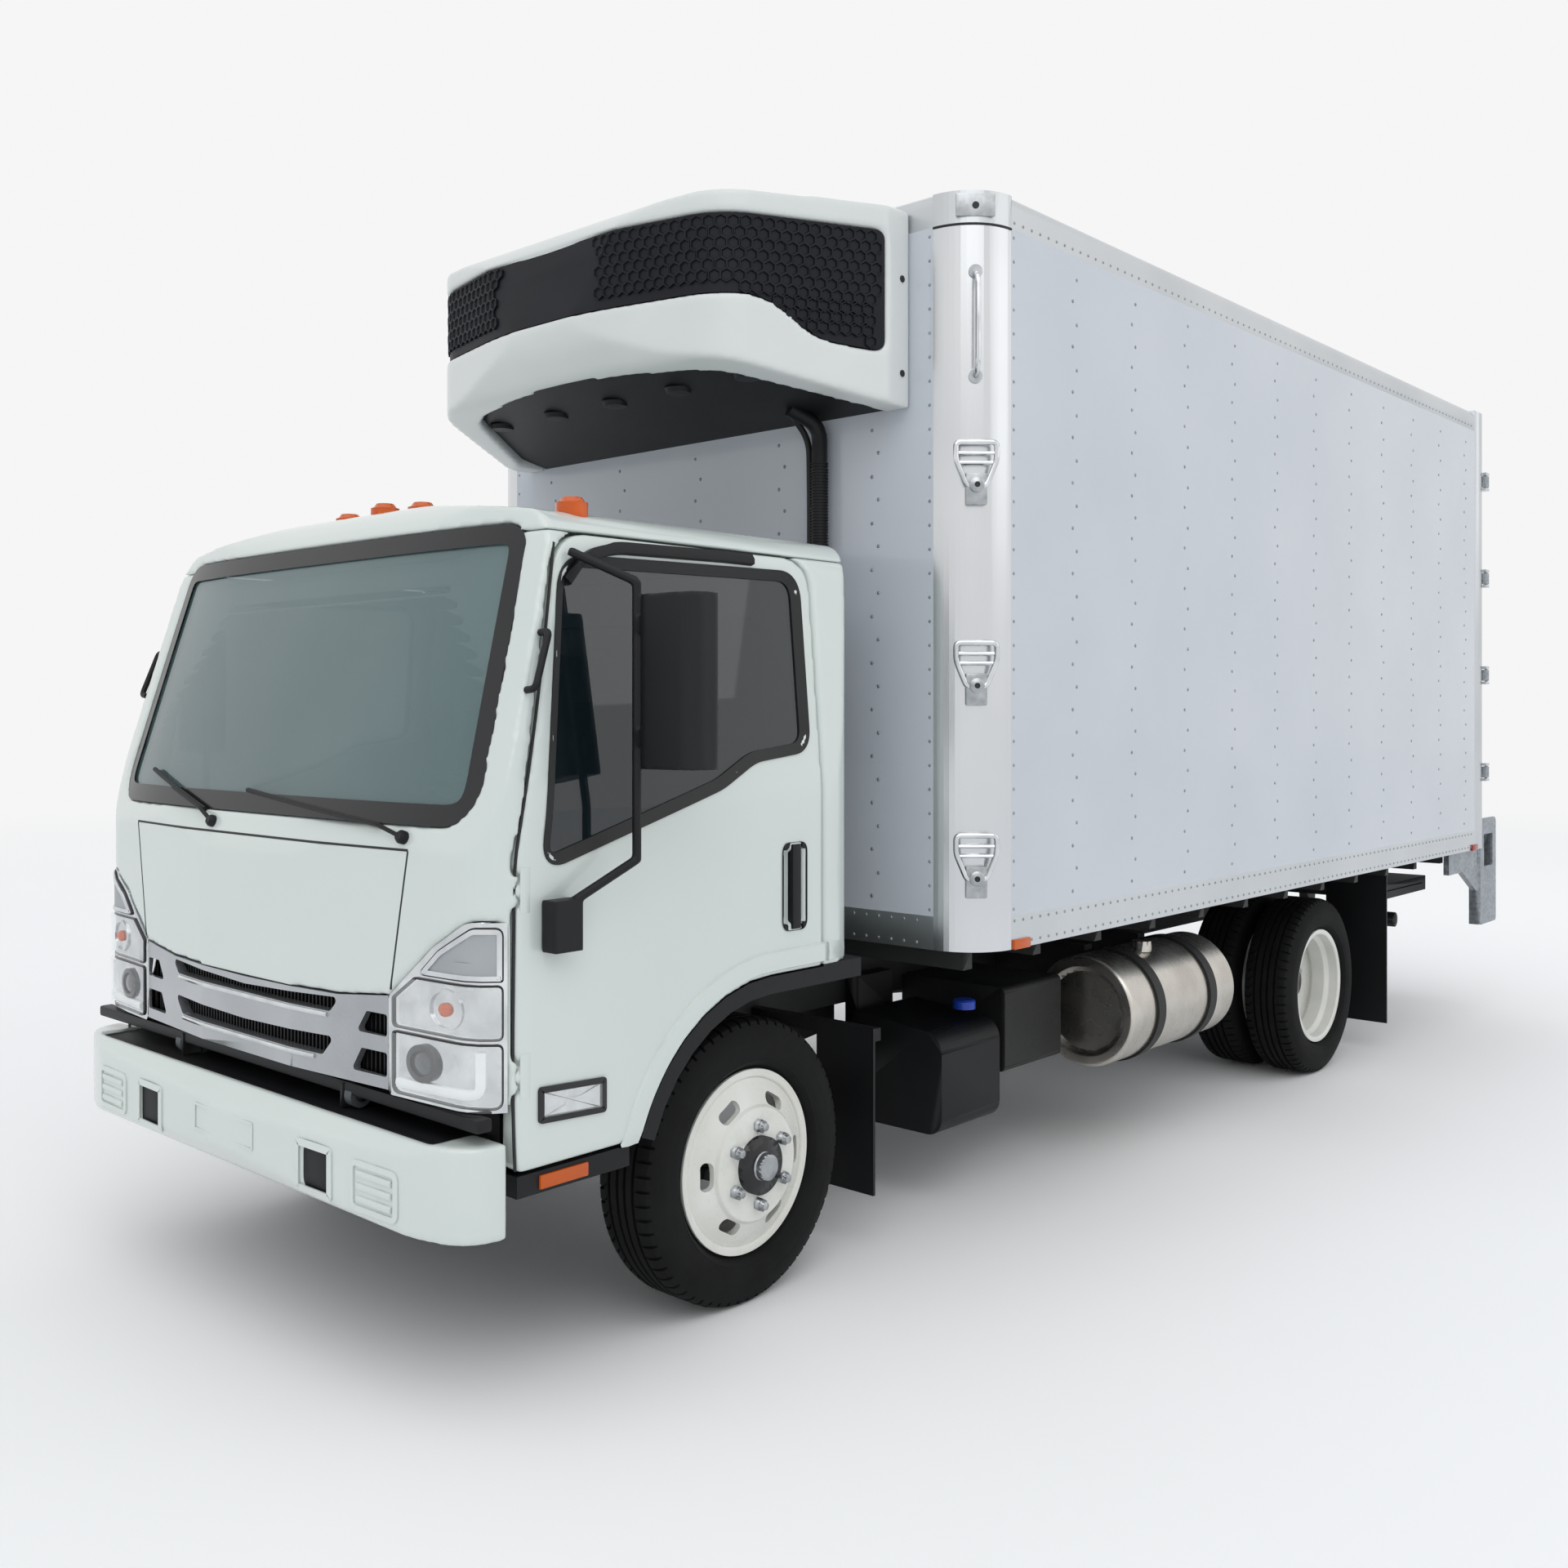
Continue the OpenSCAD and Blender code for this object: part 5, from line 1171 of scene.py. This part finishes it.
# driver's seat and double seat: cushion, back rest and head rest
def makeSeats():
    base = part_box("seats")[0].z / mm
    # middle, width and channels; for each cushion its place, its half depth and height, and its lean
    seats = ((470, 440, 2), (-300, 900, 4))
    pads = dict(seat=(-55, 74, 330, 72, 0), back=(248, 420, 62, 298, 0.11), head=(304, 800, 36, 78, 0.06))
    headHalf = 128
    bm = bmesh.new()

    def addPad(key, x, half, channels):
        u, z, deep, tall, lean = pads[key]
        addCushion(bm, (x, u, base + z), (half, deep, tall), lean, channels, key == "seat")

    for x, width, channels in seats:
        addPad("seat", x, width / 2, channels)
        addPad("back", x, width / 2, channels)
    for seat in seats:
        addPad("head", seat[0], headHalf, 1)
    piece = fromBmesh("seatCushions", bm, bodyOf("seats"), seatFabric, 60)
    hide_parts("seats")


makeGlass()
makeHeadlamps()
makeGrille()
makeFront()
makeCabSides()
makeSeats()
print("cab trimmed")


# corner posts: folding steps and a grab bar on the left, caps and joints on both
def makePosts():
    post = dict(x=1044, u=910, radius=176, steps=(2440, 1815, 1214))
    wire = dict(loop=((-64, 86), (64, 86), (64, 30), (30, -52), (-30, -52), (-64, 30)), off=16, radius=9,
                bend=0.016, rungs=((52, 62), (22, 58)), rungOff=14, rungRadius=6)
    lock = dict(below=60, off=10, half=Vector((0.011, 0.034, 0.05)), knobBelow=48, knobOff=12,
                knob=[(0, 0), (24, 0), (24, 16), (18, 20), (0, 20)], keyOff=31,
                key=[(0, 0), (9, 0), (9, 3), (0, 3)])
    grab = dict(points=((-2, 2734), (42, 2760), (42, 3036), (-2, 3062)), bend=0.022, radius=9,
                foot=[(0, 0), (22, 0), (22, 5), (0, 5)])
    cap = dict(z=3270, half=Vector((0.004, 0.062, 0.036)), hole=[(0, 0), (11, 0), (11, 3), (0, 3)],
               holeZ=3268, joint=3212, jointRadius=0.1755, jointParts=14)
    bars, plates, dark = (bmesh.new() for k in range(3))
    for s in (1, -1):
        out, across = Vector((s, -1, 0)).normalized(), Vector((s, 1, 0)).normalized()
        turn = Matrix.Rotation(math.atan2(out.y, out.x), 4, "Z")
        axis = at(s * post["x"], post["u"], 0)

        # a spot beside the middle of the post's round face, off it, at a height
        def onPost(beside, off, z):
            return axis + upward * z * mm + across * beside * mm + out * (post["radius"] + off) * mm

        for z in post["steps"] if s > 0 else ():
            points = [onPost(beside, wire["off"], z + rise) for beside, rise in wire["loop"]]
            start = points[0].lerp(points[1], 0.5)
            loop = bendPath([start] + points[1:] + [points[0], start], wire["bend"])
            addTube(bars, loop, wire["radius"], 10)
            for rise, half in wire["rungs"]:
                ends = [onPost(beside, wire["rungOff"], z + rise) for beside in (-half, half)]
                addTube(bars, ends, wire["rungRadius"], 8)
            middle = onPost(0, lock["off"], z - lock["below"])
            addBlock(plates, middle - lock["half"], middle + lock["half"], 6, turn)
            addLathe(plates, lock["knob"], onPost(0, lock["knobOff"], z - lock["knobBelow"]), out, 20)
            addLathe(dark, lock["key"], onPost(0, lock["keyOff"], z - lock["knobBelow"]), out, 14)
        if s > 0:
            addTube(bars, bendPath([onPost(0, off, z) for off, z in grab["points"]], grab["bend"]),
                    grab["radius"], 10)
            for off, z in grab["points"][::3]:
                addLathe(plates, grab["foot"], onPost(0, off + 1, z), out, 18)
        # cap: sunk marker plate, and the dark joint under it
        middle = onPost(0, 0, cap["z"])
        addBlock(plates, middle - cap["half"], middle + cap["half"], 3, turn)
        addLathe(dark, cap["hole"], onPost(0, 4, cap["holeZ"]), out, 16)
        angles = [math.pi / 2 * k / cap["jointParts"] for k in range(cap["jointParts"] + 1)]
        joint = [at(s * post["x"], post["u"], cap["joint"])
                 + Vector((s * math.sin(a), -math.cos(a), 0)) * cap["jointRadius"] for a in angles]
        addTube(dark, joint, 4, 6)
    fromBmesh("postBars", bars, "chassis", chromePlate, 40)
    fromBmesh("postPlates", plates, "chassis", platedZinc, 40)
    fromBmesh("postJoints", dark, "chassis", sealRubber, 40)


# side markers, round rear lamps on the sill, markers on the header
def makeMarkers():
    side = dict(x=1222, half=5, low=931, high=963, length=95, front=920, rear=5470)
    header = dict(places=(-160, 0, 160), outer=1150, half=48, low=3256, high=3290, front=5650, back=5668)
    rear = dict(places=(1130, 1000), u=5654, z=985, profile=[(0, 0), (50, 0), (50, 9), (40, 14), (0, 16)])
    amber, red = bmesh.new(), bmesh.new()

    def addHeaderMarker(x):
        addBlock(red, at(x - header["half"], header["front"], header["low"]),
                 at(x + header["half"], header["back"], header["high"]), 4)

    for s in (1, -1):
        for bm, u in ((amber, side["front"]), (red, side["rear"])):
            addBlock(bm, at(s * side["x"] - side["half"], u, side["low"]),
                     at(s * side["x"] + side["half"], u + side["length"], side["high"]), 3)
        for x in rear["places"]:
            addLathe(red, rear["profile"], at(s * x, rear["u"], rear["z"]), backward, 26)
        addHeaderMarker(s * header["outer"])
    for x in header["places"]:
        addHeaderMarker(x)
    fromBmesh("amberMarkers", amber, "chassis", amberLens, 40)
    fromBmesh("redMarkers", red, "chassis", redLens, 40)


# ribbed conduit and drain hose, clipped to the front wall under the cooling unit
def makeConduit():
    wall = 733
    pipe = dict(x=606, u=wall - 34, head=((560, 600, 2690), (606, 700, 2640)), high=2540, low=1020, bend=0.05,
                radius=26, ribs=150, firstRib=1024, ribStep=10,
                rib=[(25, -2.4), (29.5, -2), (29.5, 2), (25, 2.4)])
    hose = dict(points=((540, 620, 2690), (548, 715, 2600), (548, wall - 14, 2400), (548, wall - 14, 1000)),
                radius=11)
    clip = dict(left=566, right=640, front=wall - 60, heights=(2200, 1760, 1320), tall=22)
    route = [at(*p) for p in pipe["head"]]
    route += [at(pipe["x"], pipe["u"], z) for z in (pipe["high"], pipe["low"])]
    ribbed = bmesh.new()
    addTube(ribbed, bendPath(route, pipe["bend"]), pipe["radius"], 16)
    for k in range(pipe["ribs"]):
        centre = at(pipe["x"], pipe["u"], pipe["firstRib"] + k * pipe["ribStep"])
        addLathe(ribbed, pipe["rib"], centre, upward, 16)
    fromBmesh("conduit", ribbed, "chassis", mouldedBlack, 40)
    path = bendPath([at(*p) for p in hose["points"]], pipe["bend"])
    tube("drainHose", path, hose["radius"], "chassis", sealRubber, 12)
    clips = [((clip["left"], clip["front"], z), (clip["right"], wall, z + clip["tall"]))
             for z in clip["heights"]]
    blocks("conduitClips", clips, "chassis", galvanised, 2)


# turned pieces: cap of the urea tank, screws and bosses of the cooling unit
def makeTurned():
    cap = dict(place=(800, 1262, 640), profile=[(0, 0), (40, 0), (40, 26), (34, 32), (0, 32)])
    screw = dict(x=955, u=690, heights=(2760, 3060), profile=[(0, 0), (11, 0), (11, 3), (0, 4)])
    boss = dict(places=(-620, -310, 0, 310, 620), u=330, below=2000,
                profile=[(0, -4), (46, -4), (40, 12), (0, 14)])
    caps, screws, bosses = (bmesh.new() for k in range(3))
    addLathe(caps, cap["profile"], at(*cap["place"]), upward, 24)
    fromBmesh("ureaCap", caps, "chassis", bluePlastic, 40)
    for s in (1, -1):
        for z in screw["heights"]:
            addLathe(screws, screw["profile"], at(s * screw["x"], screw["u"], z), sideways * s, 14)
    fromBmesh("unitScrews", screws, "chassis", sealRubber, 40)
    pan = surfaceOf("unit_pan")
    for x in boss["places"]:
        spot = pan.ray_cast(at(x, boss["u"], boss["below"]), upward)[0]
        addLathe(bosses, boss["profile"], spot, -upward, 24)
    fromBmesh("panBosses", bosses, "chassis", mouldedBlack, 40)


makePosts()
makeMarkers()
makeConduit()
makeTurned()
print("body trimmed")


# stage

# pale floor that keeps the shadow; far off, the camera sees it fade into the background
def setFloor(level):
    floor = dict(size=60.0, fadeStart=9.0, fadeEnd=22.0)
    bm = bmesh.new()
    bmesh.ops.create_grid(bm, x_segments=1, y_segments=1, size=floor["size"])
    pale = finish("paleFloor", ("#fafafa", "#fcfcfc"), rough=(0.8, 0.9), cloud=3000, grain=300, bump=0)
    tree = pale.node_tree
    spot = addNode(tree, "ShaderNodeTexCoord").outputs["Object"]
    reach = addNode(tree, "ShaderNodeVectorMath", {0: spot}, operation="LENGTH").outputs["Value"]
    far = addNode(tree, "ShaderNodeMapRange",
                  {"Value": reach, "From Min": floor["fadeStart"], "From Max": floor["fadeEnd"]})
    seen = addNode(tree, "ShaderNodeLightPath").outputs["Is Camera Ray"]
    share = addNode(tree, "ShaderNodeMath", {0: far.outputs["Result"], 1: seen}, operation="MULTIPLY")
    glow = addNode(tree, "ShaderNodeEmission", {"Color": (1, 1, 1, 1), "Strength": level})
    lit = tree.nodes["Principled BSDF"].outputs[0]
    mixed = addNode(tree, "ShaderNodeMixShader", {0: share.outputs[0], 1: lit, 2: glow.outputs[0]})
    tree.links.new(mixed.outputs[0], tree.nodes["Material Output"].inputs["Surface"])
    asObject("floor", meshOf("floor", bm), pale)


# even sky for light; the camera, reflections and panes see plain white
def setWorld(level):
    even = dict(colour="#eef1f4", strength=0.76)
    world = bpy.data.worlds.new("studio")
    scene.world = world
    world.use_nodes = True
    tree = world.node_tree
    sky = tree.nodes["Background"]
    sky.inputs["Color"].default_value = linear(even["colour"])
    sky.inputs["Strength"].default_value = even["strength"]
    white = addNode(tree, "ShaderNodeBackground", {"Color": (1, 1, 1, 1), "Strength": level})
    path = addNode(tree, "ShaderNodeLightPath").outputs
    seen = path["Is Camera Ray"]
    for kind in ("Is Glossy Ray", "Is Transmission Ray"):
        seen = addNode(tree, "ShaderNodeMath", {0: seen, 1: path[kind]}, operation="MAXIMUM").outputs[0]
    both = addNode(tree, "ShaderNodeMixShader", {0: seen, 1: sky.outputs[0], 2: white.outputs[0]})
    tree.links.new(both.outputs[0], tree.nodes["World Output"].inputs["Surface"])


# soft lamps round the truck; a wide soft sun keeps the floor as bright far off as near
def setLamps():
    lamps = {
        "keyLamp": dict(place=(7.0, -6.5, 8.5), size=7.0, power=110),
        "sideLamp": dict(place=(9.5, 3.0, 7.0), size=8.0, power=90),
        "rearLamp": dict(place=(-6.0, 8.0, 8.0), size=8.0, power=90),
    }
    target = Vector((0, 0, 1.4))
    soft = dict(energy=0.75, spread=70, lean=(28, 12, 0))
    sun = bpy.data.lights.new("softSun", "SUN")
    sun.energy = soft["energy"]
    sun.angle = math.radians(soft["spread"])
    linked("softSun", sun).rotation_euler = [math.radians(a) for a in soft["lean"]]
    for name, lamp in lamps.items():
        light = bpy.data.lights.new(name, "AREA")
        light.size = lamp["size"]
        light.energy = lamp["power"]
        holder = linked(name, light)
        holder.location = lamp["place"]
        holder.rotation_euler = (target - Vector(lamp["place"])).to_track_quat("-Z", "Y").to_euler()


# the place, turn and lens that give the photograph's view
def setCamera():
    shot = dict(place=(3.7827, -5.5460, 1.6859), turn=42.77, lens=33.99, shiftX=0.0245, shiftY=-0.0461)
    camera = bpy.data.cameras.new("camera")
    camera.sensor_width = 36
    camera.sensor_fit = "HORIZONTAL"
    camera.lens = shot["lens"]
    camera.shift_x = shot["shiftX"]
    camera.shift_y = shot["shiftY"]
    camera.clip_end = 200
    holder = linked("camera", camera)
    holder.location = shot["place"]
    holder.rotation_euler = (math.radians(90), 0, math.radians(shot["turn"]))
    scene.camera = holder


backgroundLevel = 0.92
setFloor(backgroundLevel)
setWorld(backgroundLevel)
setLamps()
setCamera()
scene.view_settings.view_transform = "Standard"
print("stage set")
